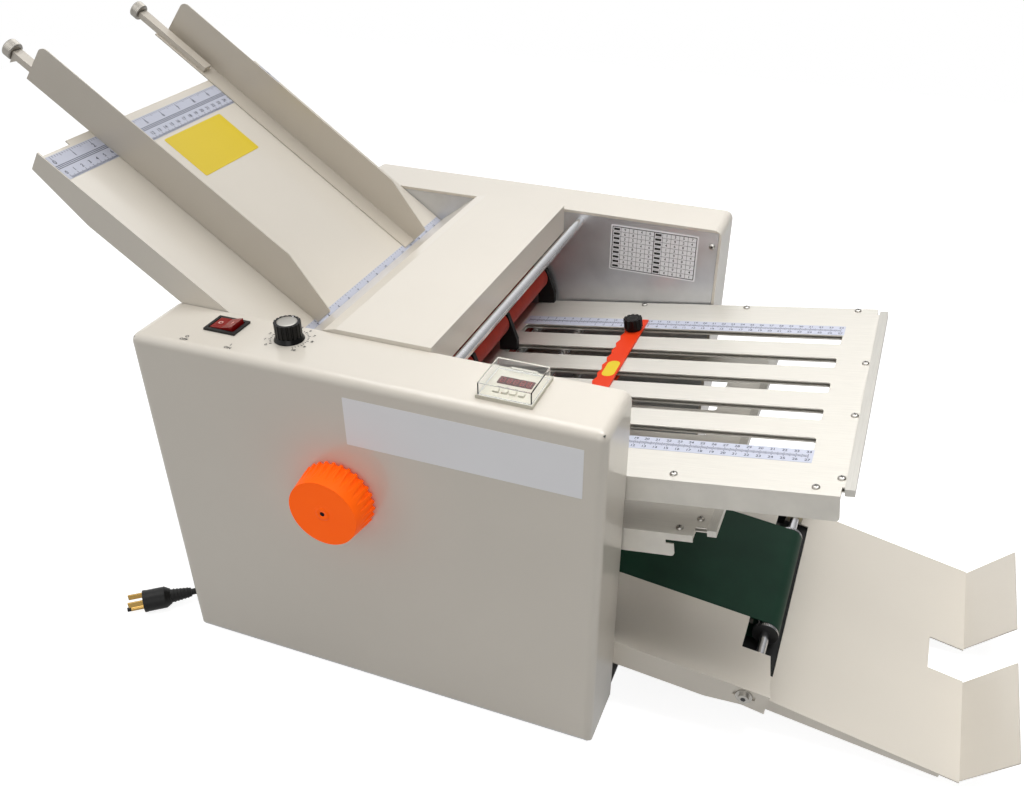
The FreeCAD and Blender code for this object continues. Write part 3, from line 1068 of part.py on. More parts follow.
def tube(points):
    """Round tube of straight runs and tangent arcs; prints its radii and its volume share."""
    spots = [FreeCAD.Vector(*p) for p in points]
    edges, radii = [], []
    start = spots[0]
    for i in range(1, len(spots) - 1):
        back, ahead = spots[i - 1] - spots[i], spots[i + 1] - spots[i]
        angle = math.pi - back.getAngle(ahead)
        reach = BEND_SHARE * min(back.Length, ahead.Length)
        radius = reach / math.tan(angle / 2)
        radii.append(round(radius, 1))
        first = spots[i] + back * (reach / back.Length)
        last = spots[i] + ahead * (reach / ahead.Length)
        centre_way = (back * (1 / back.Length) + ahead * (1 / ahead.Length)).normalize()
        centre = spots[i] + centre_way * (radius / math.cos(angle / 2))
        crown = centre - centre_way * radius
        edges += [Part.LineSegment(start, first).toShape(), Part.Arc(first, crown, last).toShape()]
        start = last
    edges.append(Part.LineSegment(start, spots[-1]).toShape())
    print("lead radii", radii)
    return swept(edges)


def biarc(start, start_way, end, end_way):
    """Two arcs that meet smoothly and keep the direction at both ends."""
    chord = end - start
    ways = start_way + end_way
    a = 2 * (1 - start_way.dot(end_way))
    b = 2 * chord.dot(ways)
    c = -chord.dot(chord)
    if abs(a) < TINY ** 2:
        reach = -c / b
    else:
        reach = (-b + math.sqrt(b * b - 4 * a * c)) / (2 * a)
    first, second = start + start_way * reach, end - end_way * reach
    joint = (first + second) * 0.5
    arcs = []
    for p0, q, p1 in ((start, first, joint), (joint, second, end)):
        weight = math.cos((q - p0).getAngle(p1 - q) / 2)
        crown = (p0 + p1) * 0.5 * (1 / (1 + weight)) + q * (weight / (1 + weight))
        arcs.append(Part.Arc(p0, crown, p1).toShape())
    return arcs


def coil_point(turns):
    """Axis of the wound cord after so many turns, wound clockwise from its left side."""
    layer_turns, climb = number("layer_turns"), number("coil_loft")
    span = layer_turns + climb
    layer = min(int(turns / span), int(number("coil_layers")) - 1)
    local = turns - layer * span
    wound = min(local, layer_turns)
    inward = number("coil_outer") - number("coil_step") * layer_turns
    radius = number("coil_outer") - number("coil_step") * wound if layer % 2 == 0 else (
        inward + number("coil_step") * wound)
    rise = number("coil_rise") * (layer + max(0.0, local - layer_turns) / climb)
    angle = math.pi - 2 * math.pi * turns
    return FreeCAD.Vector(number("coil_x") + radius * math.cos(angle),
                          number("coil_y") + radius * math.sin(angle), number("cord_radius") + rise)


def coil_way(turns, total):
    """Direction of the wound cord: flat and square to the ends, along the winding between them."""
    if turns <= 0:
        return FreeCAD.Vector(0, 1, 0)
    if turns >= total:
        return FreeCAD.Vector(0, -1, 0)
    return (coil_point(turns + TINY) - coil_point(turns - TINY)).normalize()


def coil():
    """The put-away length as one unbroken wound tube; prints its least gap to itself."""
    total = number("coil_layers * layer_turns + (coil_layers - 1) * coil_loft")
    edges = []
    for k in range(int(round(total * ARC_PAIRS))):
        t0, t1 = k / ARC_PAIRS, (k + 1) / ARC_PAIRS
        edges += biarc(coil_point(t0), coil_way(t0, total), coil_point(t1), coil_way(t1, total))
    spots = [coil_point(k / COIL_SAMPLES) for k in range(int(total * COIL_SAMPLES))]
    least = min((spots[i] - spots[j]).Length for i in range(len(spots))
                for j in range(i + COIL_SAMPLES // 2, len(spots)))
    print("coil turns", total, "least gap", round(least - 2 * number("cord_radius"), 2))
    print("coil ends", coil_point(0), coil_point(total))
    return swept(edges)


lead = doc.addObject("Part::Feature", "lead")
lead.Shape = tube(LEAD)
tail = doc.addObject("Part::Feature", "tail")
tail.Shape = tube(TAIL)
node("cord_lead", group(lead, tail))
wound = doc.addObject("Part::Feature", "wound")
wound.Shape = coil()
node("cord_coil", wound)

PLUG_FACE = "(plug_taper + plug_shoulder + plug_body)"
neck = move(cone("X", "plug_tip_radius", "plug_neck_radius", "0", "plug_taper"), "0", "0", "0")
shoulder = move(cone("X", "plug_neck_radius + edge_radius", "plug_body_radius", "0", "plug_shoulder"),
                "plug_taper", "0", "0")
body = bar("0", "0", "plug_body_radius", "plug_taper + plug_shoulder", PLUG_FACE)
face = bar("0", "0", "plug_face_radius", PLUG_FACE, "%s + plug_face" % PLUG_FACE)
blade = box(PLUG_FACE, "%s + plug_face + plug_blade_length" % PLUG_FACE,
            "plug_blade_spread - plug_blade_thickness / 2", "plug_blade_spread + plug_blade_thickness / 2",
            "plug_blade_rise - plug_blade_height / 2", "plug_blade_rise + plug_blade_height / 2")
pin = bar("0", "-plug_pin_drop", "plug_pin_radius", PLUG_FACE, "%s + plug_face + plug_pin_length" % PLUG_FACE)
plug = fuse(neck, shoulder, body, face, *both(blade), pin)
node("mains_plug", move(turn(plug, (0, 0, 1), "plug_heading"), "plug_x", "plug_y", "plug_z"))

# Build, check every object, and write one file per node.
doc.recompute()
faults = [(o.Name, o.Label, o.State) for o in doc.Objects if set(o.State) & {"Invalid", "Error"}]
for name, item in NODES.items():
    shape = item.Shape
    if shape.isNull() or not shape.isValid() or not shape.Solids:
        faults.append((name, "bad shape"))
if faults:
    raise RuntimeError("faulty objects: %s" % faults)
for name, item in NODES.items():
    item.Shape.exportStep("parts/%s.step" % name)
print(len(NODES), "nodes written")
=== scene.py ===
"""Desk paper folding machine: finishes, printed scales, fasteners, mains cord, stage and camera."""
import math

import bmesh
import bpy
from bpy.props import BoolProperty, FloatProperty, FloatVectorProperty, IntProperty, PointerProperty
from mathutils import Matrix, Vector


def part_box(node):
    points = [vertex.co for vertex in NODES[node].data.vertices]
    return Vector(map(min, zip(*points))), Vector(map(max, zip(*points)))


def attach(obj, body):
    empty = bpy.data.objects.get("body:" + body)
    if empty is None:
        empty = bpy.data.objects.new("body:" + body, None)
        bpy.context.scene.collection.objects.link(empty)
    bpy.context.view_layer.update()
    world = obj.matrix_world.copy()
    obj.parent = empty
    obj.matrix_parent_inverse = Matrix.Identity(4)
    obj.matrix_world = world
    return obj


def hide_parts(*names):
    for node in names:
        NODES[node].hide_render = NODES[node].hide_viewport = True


bl_info = {
    "name": "Paper Folding Machine",
    "version": (1, 0, 0),
    "blender": (4, 5, 0),
    "location": "View3D > Sidebar > Folder",
    "description": "Finishes, prints, fasteners, mains cord and stage of a desk paper folding machine",
    "category": "Object",
}

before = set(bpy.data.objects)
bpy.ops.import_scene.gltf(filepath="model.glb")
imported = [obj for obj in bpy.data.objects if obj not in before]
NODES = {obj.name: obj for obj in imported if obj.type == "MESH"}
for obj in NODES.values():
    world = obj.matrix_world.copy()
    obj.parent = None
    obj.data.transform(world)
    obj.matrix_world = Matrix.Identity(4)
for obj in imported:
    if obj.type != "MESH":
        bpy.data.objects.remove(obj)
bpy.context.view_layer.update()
MM = 0.001

# Planes that carry the details, in metres: the machine's walls, and the slopes of its sheets.
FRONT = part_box("front_cover")[0][1]
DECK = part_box("front_cover")[1][2]
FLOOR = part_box("rubber_feet")[0][2]
TABLE_SLOPE = math.radians(35.18)
PLATE_SLOPE = math.radians(8.62)
FRAME_SLOPE = math.radians(6.5)
PLATE_FACE = 2.5 * MM


def plane(x, z, slope, y=0.0):
    """Frame with its origin at x, y, z and its X axis going down by the slope."""
    return Matrix.Translation((x, y, z)) @ Matrix.Rotation(slope, 4, "Y")


TABLE = plane(-0.3385, 0.4945, TABLE_SLOPE)
UPPER_PLATE = plane(0.023928, 0.251680, -PLATE_SLOPE)
LOWER_PLATE = plane(0.023928, 0.194731, -PLATE_SLOPE)
DELIVERY = plane(0.222, 0.088, FRAME_SLOPE)
WALL = Matrix.Rotation(math.radians(90), 4, "X")
ALONG = Matrix.Rotation(math.radians(90), 4, "Y")


def both_sides(near, far):
    """Span between two distances from the middle, on each side of it."""
    return [sorted((side * near, side * far)) for side in (-1, 1)]


def linear(code):
    """Scene colour of a six-digit screen colour."""
    parts = [int(code[i:i + 2], 16) / 255 for i in (0, 2, 4)]
    return tuple(c / 12.92 if c <= 0.04045 else ((c + 0.055) / 1.055) ** 2.4 for c in parts)


# Mesh helpers.
def finished(name, bm, material, body, smooth=False, bevel=0.0):
    """Turns a bmesh into a piece that rides on a body."""
    mesh = bpy.data.meshes.new(name)
    bmesh.ops.recalc_face_normals(bm, faces=bm.faces)
    bm.to_mesh(mesh)
    bm.free()
    mesh.materials.append(material)
    for face in mesh.polygons:
        face.use_smooth = smooth
    piece = bpy.data.objects.new(name, mesh)
    bpy.context.scene.collection.objects.link(piece)
    if bevel:
        edge = piece.modifiers.new("Edge", "BEVEL")
        edge.width = bevel
        edge.segments = 2
        edge.limit_method = "ANGLE"
    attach(piece, body)
    return piece


def add_block(bm, low, high, place=Matrix.Identity(4)):
    """Box from its lowest to its highest corner."""
    size = Vector(high) - Vector(low)
    centre = (Vector(high) + Vector(low)) / 2
    matrix = place @ Matrix.Translation(centre) @ Matrix.Diagonal((*size, 1))
    bmesh.ops.create_cube(bm, size=1, matrix=matrix)


def add_turned(bm, profile, segments=32, place=Matrix.Identity(4)):
    """Body of revolution about Z from pairs of radius and height."""
    rings = []
    for radius, height in profile:
        if radius == 0:
            rings.append([bm.verts.new(place @ Vector((0, 0, height)))])
        else:
            rings.append([bm.verts.new(place @ Vector((radius * math.cos(a), radius * math.sin(a), height)))
                          for a in (math.tau * i / segments for i in range(segments))])
    for low, high in zip(rings, rings[1:]):
        for i in range(segments):
            j = (i + 1) % segments
            if len(low) == 1:
                bm.faces.new((low[0], high[j], high[i]))
            elif len(high) == 1:
                bm.faces.new((low[i], low[j], high[0]))
            else:
                bm.faces.new((low[i], low[j], high[j], high[i]))


def rounded_outline(width, height, radius, steps=6):
    """Corners of a rounded rectangle about the origin."""
    points = []
    for quarter, (sx, sy) in enumerate(((1, 1), (-1, 1), (-1, -1), (1, -1))):
        centre = (sx * (width / 2 - radius), sy * (height / 2 - radius))
        for i in range(steps + 1):
            angle = math.radians(90) * (quarter + i / steps)
            points.append((centre[0] + radius * math.cos(angle), centre[1] + radius * math.sin(angle)))
    return points


def add_plate(bm, outline, low, high, place=Matrix.Identity(4)):
    """Flat plate with the given outline."""
    top = [bm.verts.new(place @ Vector((x, y, high))) for x, y in outline]
    foot = [bm.verts.new(place @ Vector((x, y, low))) for x, y in outline]
    bm.faces.new(top)
    bm.faces.new(list(reversed(foot)))
    for i in range(len(outline)):
        j = (i + 1) % len(outline)
        bm.faces.new((foot[i], foot[j], top[j], top[i]))


BOLD = 0.018  # share of a letter's size that its strokes gain


def add_text(bm, text, size, place):
    """Flat lettering, centred at the origin of its place."""
    curve = bpy.data.curves.new("Lettering", "FONT")
    curve.body = text
    curve.size = size
    curve.align_x = "CENTER"
    curve.align_y = "CENTER"
    curve.resolution_u = 3
    curve.offset = size * BOLD
    holder = bpy.data.objects.new("Lettering", curve)
    mesh = bpy.data.meshes.new_from_object(holder)
    mesh.transform(place)
    bm.from_mesh(mesh)
    bpy.data.meshes.remove(mesh)
    bpy.data.objects.remove(holder)
    bpy.data.curves.remove(curve)


# Finishes: each one is a node material with the texture of the real surface.
class Shader:
    """Node material under construction, with its nodes added by short calls."""

    def __init__(self, name, colour, roughness, metallic=0.0):
        self.material = bpy.data.materials.new(name)
        self.material.use_nodes = True
        self.tree = self.material.node_tree
        self.surface = self.tree.nodes["Principled BSDF"]
        self.base = (*colour, 1)
        self.surface.inputs["Base Color"].default_value = self.base
        self.surface.inputs["Roughness"].default_value = roughness
        self.surface.inputs["Metallic"].default_value = metallic
        self.place = self.node("ShaderNodeTexCoord").outputs["Object"]

    def node(self, kind, **values):
        made = self.tree.nodes.new(kind)
        for key, value in values.items():
            setattr(made, key, value)
        return made

    def link(self, source, target):
        self.tree.links.new(source, target)

    def coat(self, weight, roughness):
        self.surface.inputs["Coat Weight"].default_value = weight
        self.surface.inputs["Coat Roughness"].default_value = roughness

    def noise(self, scale, detail=2.0, stretch=(1, 1, 1)):
        """Noise in object space; scale is in cycles per metre."""
        mapping = self.node("ShaderNodeMapping")
        mapping.inputs["Scale"].default_value = stretch
        self.link(self.place, mapping.inputs["Vector"])
        made = self.node("ShaderNodeTexNoise")
        made.inputs["Scale"].default_value = scale
        made.inputs["Detail"].default_value = detail
        self.link(mapping.outputs["Vector"], made.inputs["Vector"])
        return made.outputs["Fac"]

    def spread(self, source, low, high):
        """Maps a texture onto a range of values."""
        made = self.node("ShaderNodeMapRange")
        made.inputs["To Min"].default_value = low
        made.inputs["To Max"].default_value = high
        self.link(source, made.inputs["Value"])
        return made.outputs["Result"]

    def tint(self, source, low, high):
        """Colour between two shares of the base colour, by a texture."""
        ramp = self.node("ShaderNodeValToRGB")
        ramp.color_ramp.elements[0].position = 0.3
        ramp.color_ramp.elements[0].color = (*[min(1, c * low) for c in self.base[:3]], 1)
        ramp.color_ramp.elements[1].position = 0.7
        ramp.color_ramp.elements[1].color = (*[min(1, c * high) for c in self.base[:3]], 1)
        self.link(source, ramp.inputs["Fac"])
        self.link(ramp.outputs["Color"], self.surface.inputs["Base Color"])

    def grain(self, source, low, high):
        """Roughness between two values, by a texture."""
        self.link(self.spread(source, low, high), self.surface.inputs["Roughness"])

    def bump(self, source, height):
        """Relief of the given height in metres."""
        made = self.node("ShaderNodeBump")
        made.inputs["Distance"].default_value = height
        made.inputs["Strength"].default_value = 1.0
        self.link(source, made.inputs["Height"])
        self.link(made.outputs["Normal"], self.surface.inputs["Normal"])


def powder_coat(name, colour, roughness=0.32, gloss=0.5):
    """Glossy coat over sheet metal, with the fine orange peel of sprayed paint."""
    made = Shader(name, colour, roughness)
    made.coat(gloss, 0.09)
    made.surface.inputs["Specular IOR Level"].default_value = gloss
    made.surface.inputs["Coat IOR"].default_value = 1.45
    made.tint(made.noise(7, 3), 0.985, 1.015)
    made.grain(made.noise(60, 3), roughness - 0.04, roughness + 0.05)
    made.bump(made.noise(900, 2), 0.00002)
    return made.material


def satin_sheet(name, colour, roughness, metallic=0.85, stretch=(1, 60, 1)):
    """Plated or brushed sheet metal with fine rolling lines along X."""
    made = Shader(name, colour, roughness, metallic)
    lines = made.noise(40, 6, stretch)
    made.tint(lines, 0.93, 1.05)
    made.grain(lines, roughness - 0.06, roughness + 0.08)
    made.bump(made.noise(1200, 3, (1, 8, 1)), 0.000006)
    return made.material


def turned_steel(name, colour, roughness, stretch=(1, 200, 1)):
    """Ground shaft metal with fine rings round its length."""
    made = Shader(name, colour, roughness, 1.0)
    rings = made.noise(12, 4, stretch)
    made.tint(rings, 0.9, 1.05)
    made.grain(rings, roughness - 0.05, roughness + 0.06)
    made.bump(made.noise(30, 3, stretch), 0.000004)
    return made.material


def moulded(name, colour, roughness, relief=0.00002, scale=1500, gloss=0.3):
    """Moulded plastic with a fine spark-eroded texture."""
    made = Shader(name, colour, roughness)
    made.surface.inputs["Specular IOR Level"].default_value = gloss
    made.tint(made.noise(40, 3), 0.96, 1.03)
    made.grain(made.noise(220, 4), roughness - 0.05, roughness + 0.06)
    made.bump(made.noise(scale, 2), relief)
    return made.material


def glowing_moulded(name, colour, glow):
    """Moulded plastic with a painted glow: a constant orange emission, standing in for a daylight-fluorescent
    pigment, that brightens it whatever the lamps.
    """
    material = moulded(name, colour, 0.42, 0.00003, 700)
    surface = material.node_tree.nodes["Principled BSDF"]
    surface.inputs["Specular IOR Level"].default_value = 0.15
    # Painted glow: the emission lights the wheel beyond what the lamps give it.
    surface.inputs["Emission Color"].default_value = (*linear("FF4E04"), 1)
    surface.inputs["Emission Strength"].default_value = glow
    return material


def rubber(name, colour, roughness, relief=0.00003, scale=1100):
    """Ground or moulded rubber: matt, slightly mottled, with a soft sheen."""
    made = Shader(name, colour, roughness)
    made.surface.inputs["Specular IOR Level"].default_value = 0.3
    made.surface.inputs["Sheen Weight"].default_value = 0.08
    made.tint(made.noise(90, 5), 0.85, 1.12)
    made.grain(made.noise(300, 4), roughness - 0.06, roughness + 0.06)
    made.bump(made.noise(scale, 4), relief)
    return made.material


def belting(name, colour):
    """Smooth top cover of a conveyor belt over a woven carcass."""
    made = Shader(name, colour, 0.45)
    made.surface.inputs["Specular IOR Level"].default_value = 0.14
    made.tint(made.noise(30, 4), 0.9, 1.12)
    weave = made.node("ShaderNodeTexWave", wave_type="BANDS", bands_direction="Y")
    weave.inputs["Scale"].default_value = 260
    weave.inputs["Distortion"].default_value = 0.6
    made.link(made.place, weave.inputs["Vector"])
    made.bump(weave.outputs["Fac"], 0.000012)
    return made.material


def clear_acrylic(name):
    """Clear moulded cover with faint handling haze."""
    made = Shader(name, (0.96, 0.97, 0.97), 0.04)
    made.surface.inputs["Transmission Weight"].default_value = 1.0
    made.surface.inputs["IOR"].default_value = 1.2
    made.grain(made.noise(120, 4), 0.02, 0.09)
    made.bump(made.noise(25, 2), 0.00001)
    return made.material


def printed(name, colour, roughness=0.4):
    """Ink or film on a label, slightly uneven as printed."""
    made = Shader(name, colour, roughness)
    made.tint(made.noise(500, 3), 0.97, 1.02)
    made.grain(made.noise(200, 2), roughness - 0.05, roughness + 0.05)
    return made.material


def film(name, colour):
    """Smooth glossy label film with faint ripples from the hand that laid it."""
    made = Shader(name, colour, 0.3)
    made.coat(0.12, 0.1)
    made.tint(made.noise(9, 2), 0.985, 1.01)
    made.bump(made.noise(60, 2), 0.00001)
    return made.material


def lit_window(name, colour):
    """Dark red filter of a number display."""
    made = Shader(name, colour, 0.15)
    made.coat(0.5, 0.05)
    made.tint(made.noise(300, 2), 0.9, 1.1)
    return made.material


# Sizes and colours that a user would change.
class FolderSizes(bpy.types.PropertyGroup):
    """Sizes of the printed and fastened details."""

    badge_width: FloatProperty(name="Badge width", description="Width of the blank plate on the front cover",
                               default=0.210, unit="LENGTH")
    badge_height: FloatProperty(name="Badge height", description="Height of the blank plate",
                                default=0.047, unit="LENGTH")
    tape_width: FloatProperty(name="Tape width", description="Width of a printed scale on the fold plate",
                              default=0.0195, unit="LENGTH")
    film: FloatProperty(name="Film", description="Thickness of tapes and labels",
                        default=0.00025, unit="LENGTH")
    screw_radius: FloatProperty(name="Screw head", description="Radius of a pan head screw", default=0.0034,
                                unit="LENGTH")
    plate_scale_length: IntProperty(name="Plate scale", description="Centimetres on the fold plate's scale",
                                    default=34, min=5, max=40)
    numerals: BoolProperty(name="Numerals", description="Print the numerals of the scales", default=True)
    cord_diameter: FloatProperty(name="Cord diameter", description="Outer diameter of the mains cord",
                                 default=0.007, unit="LENGTH")
    floor_size: FloatProperty(name="Floor", description="Half the side of the studio floor", default=2.2,
                              unit="LENGTH")


class FolderColours(bpy.types.PropertyGroup):
    """Colours of the main finishes."""

    body: FloatVectorProperty(name="Body", description="Powder coat of the covers and table", subtype="COLOR",
                              default=linear("D8D1C5"), min=0, max=1)
    # The guides' default is the body coat made darker, as painted shade on their upright walls.
    guides: FloatVectorProperty(name="Side guides", description="Coat of the side guides", subtype="COLOR",
                                default=linear("C8C0B3"), min=0, max=1)
    wheel: FloatVectorProperty(name="Handwheel", description="Moulded handwheel", subtype="COLOR",
                               default=linear("FF6A08"), min=0, max=1)
    rollers: FloatVectorProperty(name="Rollers", description="Ground rubber of the rollers", subtype="COLOR",
                                 default=linear("A82812"), min=0, max=1)
    stops: FloatVectorProperty(name="Stops", description="Paint of the fold stops", subtype="COLOR",
                               default=linear("DC3A12"), min=0, max=1)
    belt: FloatVectorProperty(name="Belt", description="Cover of the delivery belt", subtype="COLOR",
                              default=linear("163829"), min=0, max=1)
    tape: FloatVectorProperty(name="Tape", description="Ground of the printed scales", subtype="COLOR",
                              default=linear("BDC0CE"), min=0, max=1)
    ink: FloatVectorProperty(name="Ink", description="Ink of the printed scales", subtype="COLOR",
                             default=linear("131D38"), min=0, max=1)
    background: FloatVectorProperty(name="Background", description="Colour of the floor and backdrop",
                                    subtype="COLOR", default=(1.0, 1.0, 1.0), min=0, max=1)


MATERIALS = {}


def finish(name):
    """Material by its plain name."""
    return MATERIALS[name]


def mix_finishes(colours):
    """Makes every finish once."""
    MATERIALS.update(
        body=powder_coat("Body powder coat", tuple(colours.body)),
        # Darker copy of the body coat: painted shade of the guides' walls.
        guide=powder_coat("Guide coat with painted shade", tuple(colours.guides), 0.3),
        plate=satin_sheet("Fold plate satin steel", linear("D9D5CC"), 0.36, 0.35),
        liner=satin_sheet("Zinc plated sheet", linear("CDCED0"), 0.36, 0.8),
        shaft=turned_steel("Ground shaft steel", linear("D6D6D8"), 0.17),
        screw=turned_steel("Plated screw steel", linear("B4B1AB"), 0.28, (1, 1, 1)),
        nickel=turned_steel("Nickel thumb screw", linear("98948D"), 0.3, (1, 1, 1)),
        blued=turned_steel("Blackened shaft", linear("17171A"), 0.45),
        seal=moulded("Dark sheet", linear("26241F"), 0.55),
        bar=satin_sheet("Aluminium bar", linear("C9C6BF"), 0.34, 0.8, (60, 1, 1)),
        wheel=glowing_moulded("Orange wheel plastic", tuple(colours.wheel), 0.32),
        black=moulded("Black plastic", linear("161616"), 0.42),
        knob=moulded("Knob plastic", linear("090909"), 0.22, gloss=0.22),
        rocker=moulded("Red rocker plastic", linear("840807"), 0.16, gloss=0.4),
        cream=moulded("Cream plastic", linear("C9C4B6"), 0.4),
        nylon=moulded("Beige nylon", linear("CFC3A6"), 0.5),
        roller=rubber("Red roller rubber", tuple(colours.rollers), 0.55),
        rubber=rubber("Black rubber", linear("1B1B1B"), 0.62),
        cord=rubber("Cord sheath", linear("141414"), 0.42, 0.00001, 600),
        stop=powder_coat("Stop paint", tuple(colours.stops), 0.4, 0.15),
        belt=belting("Green belting", tuple(colours.belt)),
        clear=clear_acrylic("Clear counter cover"),
        board=moulded("Board laminate", linear("1F5A33"), 0.4),
        brass=turned_steel("Brass prongs", linear("C9A561"), 0.25, (1, 1, 1)),
        tape=printed("Scale tape", tuple(colours.tape)),
        ink=printed("Scale ink", tuple(colours.ink)),
        white=film("White film", linear("F1F1F3")),
        # Black print of the tables, legends and marks, and also painted shade in the screw recesses and bolt
        # sockets.
        black_ink=printed("Black ink and recess shade", linear("262626"), 0.5),
        pale_ink=printed("Pale ink", linear("E8B8AE"), 0.4),
        yellow=film("Yellow film", linear("DCC006")),
        display=lit_window("Display filter", linear("4A100C")),
        digits=printed("Display segments", linear("8C2A1C"), 0.4),
        motor=powder_coat("Motor paint", linear("8D9296"), 0.45),
    )


NODE_FINISHES = {
    "body": ["front_cover", "rear_cover", "centre_cover", "feed_table", "delivery_frame", "delivery_tray"],
    "guide": ["front_side_guide", "rear_side_guide"],
    "plate": ["upper_fold_plate", "lower_fold_plate"],
    "liner": ["base_plate", "front_side_plate", "rear_side_plate", "paper_guides"],
    "blued": ["main_shaft"],
    "shaft": ["top_rod", "guide_roller", "delivery_drive_roller", "delivery_end_roller", "tie_bars"],
    "screw": ["tray_screws", "front_guide_screw", "rear_guide_screw"],
    "bar": ["fold_plate_bars", "motor_pulley"],
    "wheel": ["handwheel"],
    "black": ["roller_brackets", "switch_housing", "cord_gland"],
    "knob": ["upper_stop_knob", "lower_stop_knob", "speed_knob"],
    "rocker": ["switch_rocker"],
    "cream": ["counter_body", "counter_key_1", "counter_key_2", "counter_key_3", "counter_key_4"],
    "nylon": ["shaft_bearings", "end_roller_bearings"],
    "roller": ["guide_roller_sleeves"] + ["fold_roller_%d" % i for i in range(1, 7)],
    "rubber": ["rubber_feet", "retard_pad", "feed_roller", "drive_belts"],
    "cord": ["mains_plug", "cord_lead", "cord_coil"],
    "stop": ["upper_fold_stop", "lower_fold_stop"],
    "belt": ["delivery_belt"],
    "clear": ["counter_window"],
    "board": ["control_board"],
    "motor": ["motor"],
}


class FOLDER_OT_finishes(bpy.types.Operator):
    """Give every node of the machine the finish of the real surface"""

    bl_idname = "folder.finishes"
    bl_label = "Finishes"

    def execute(self, context):
        mix_finishes(context.scene.folder_colours)
        for name, nodes in NODE_FINISHES.items():
            for node in nodes:
                holder = NODES[node]
                if not holder.material_slots:
                    holder.data.materials.append(finish(name))
                for place in holder.material_slots:
                    place.material = finish(name)
        return {"FINISHED"}


MARK = 0.0002  # half the width of a scale's mark
LATE = 7  # centimetres left out at the start of a fold plate's second row
TABLE_TAPE = (-0.171, 0.171)


def add_marks(ink, place, length, edge, step, numeral_every, depth, start):
    """Row of marks along X that grow from an edge line across Y; depth is the longest mark."""
    film = bpy.context.scene.folder_sizes.film
    for i in range(int(round((length - 2 * start) / step)) + 1):
        x = start + i * step
        phase = i % numeral_every
        share = 1.0 if phase == 0 else 0.75 if phase * 2 == numeral_every else 0.5
        low, high = sorted((edge, edge - math.copysign(depth * share, edge)))
        add_plate(ink, [(x - MARK, low), (x + MARK, low), (x + MARK, high), (x - MARK, high)],
                  film, film * 1.3, place)


def add_figures(ink, place, many, y, spacing, start, size, first=0):
    """Row of so many numerals along X, one to each spacing."""
    film = bpy.context.scene.folder_sizes.film
    for i in range(many):
        add_text(ink, str(first + i), size, place @ Matrix.Translation((start + i * spacing, y, film * 1.2)))


def add_tape(tape, place, length, width):
    """Ground of a scale, centred on its place's X axis."""
    film = bpy.context.scene.folder_sizes.film
    half = width / 2
    add_plate(tape, [(0, -half), (length, -half), (length, half), (0, half)], 0, film, place)


class FOLDER_OT_scales(bpy.types.Operator):
    """Printed centimetre and inch scales of the feed table, centre cover and fold plates"""

    bl_idname = "folder.scales"
    bl_label = "Scales"

    def execute(self, context):
        sizes = context.scene.folder_sizes
        width, margin = sizes.tape_width, 0.004
        tape, ink = bmesh.new(), bmesh.new()
        for plate_at, centimetres in ((UPPER_PLATE, sizes.plate_scale_length), (LOWER_PLATE, 24)):
            length = centimetres * 0.01 + 2 * margin
            for y in (0.1172, -0.1168):
                place = plate_at @ Matrix.Translation((-margin, y, PLATE_FACE))
                add_tape(tape, place, length, width)
                for edge in (-0.0001, 0.0001):
                    add_marks(ink, place, length, edge, 0.001, 10, width * 0.17, margin)
                if sizes.numerals:
                    for row, skipped in ((width * 0.31, 0), (-width * 0.31, LATE)):
                        start = margin + skipped * 0.01 + 0.01
                        add_figures(ink, place, centimetres - skipped, row, 0.01, start, 0.0046, 1)
        turned = Matrix.Rotation(math.radians(90), 4, "Z")
        length = TABLE_TAPE[1] - TABLE_TAPE[0]
        place = TABLE @ Matrix.Translation((0.0222, TABLE_TAPE[0], 0)) @ turned
        add_tape(tape, place, length, 0.0284)
        add_marks(ink, place, length, 0.0138, 0.0254 / 8, 8, 0.0045, margin)
        add_marks(ink, place, length, -0.0138, 0.001, 10, 0.004, margin)
        for groove in (0.0022, 0.0006, -0.001):
            add_block(ink, (0, groove - 0.0003, sizes.film),
                      (length, groove + 0.0003, sizes.film * 1.3), place)
        if sizes.numerals:
            add_figures(ink, place, 14, 0.0066, 0.0254, margin, 0.0062)
            add_figures(ink, place, 34, -0.0068, 0.01, margin, 0.0052)
        place = TABLE @ Matrix.Translation((0.2785, TABLE_TAPE[0], 0)) @ turned
        add_tape(tape, place, length, 0.011)
        add_marks(ink, place, length, 0.005, 0.005, 4, 0.002, margin)
        if sizes.numerals:
            add_figures(ink, place, 17, -0.0008, 0.02, margin, 0.0046)
        finished("scale_tapes", tape, finish("tape"), "root")
        finished("scale_marks", ink, finish("ink"), "root")
        return {"FINISHED"}


def add_pan_screw(heads, slots, place, radius):
    """Pan head seated on the plane of its place, and its cross recess as blocks that are painted dark as
    shade.
    """
    height = radius * 0.62
    add_turned(heads, [(radius, 0), (radius, height * 0.25), (radius * 0.93, height * 0.6),
                       (radius * 0.7, height * 0.88), (radius * 0.35, height), (0, height)], 24, place)
    # The cross recess is two dark blocks on the head: painted shade in the recess.
    arm, blade = radius * 0.52, radius * 0.11
    for angle in (0, 90):
        add_block(slots, (-arm, -blade, height * 0.75), (arm, blade, height * 1.02),
                  place @ Matrix.Rotation(math.radians(angle + 20), 4, "Z"))


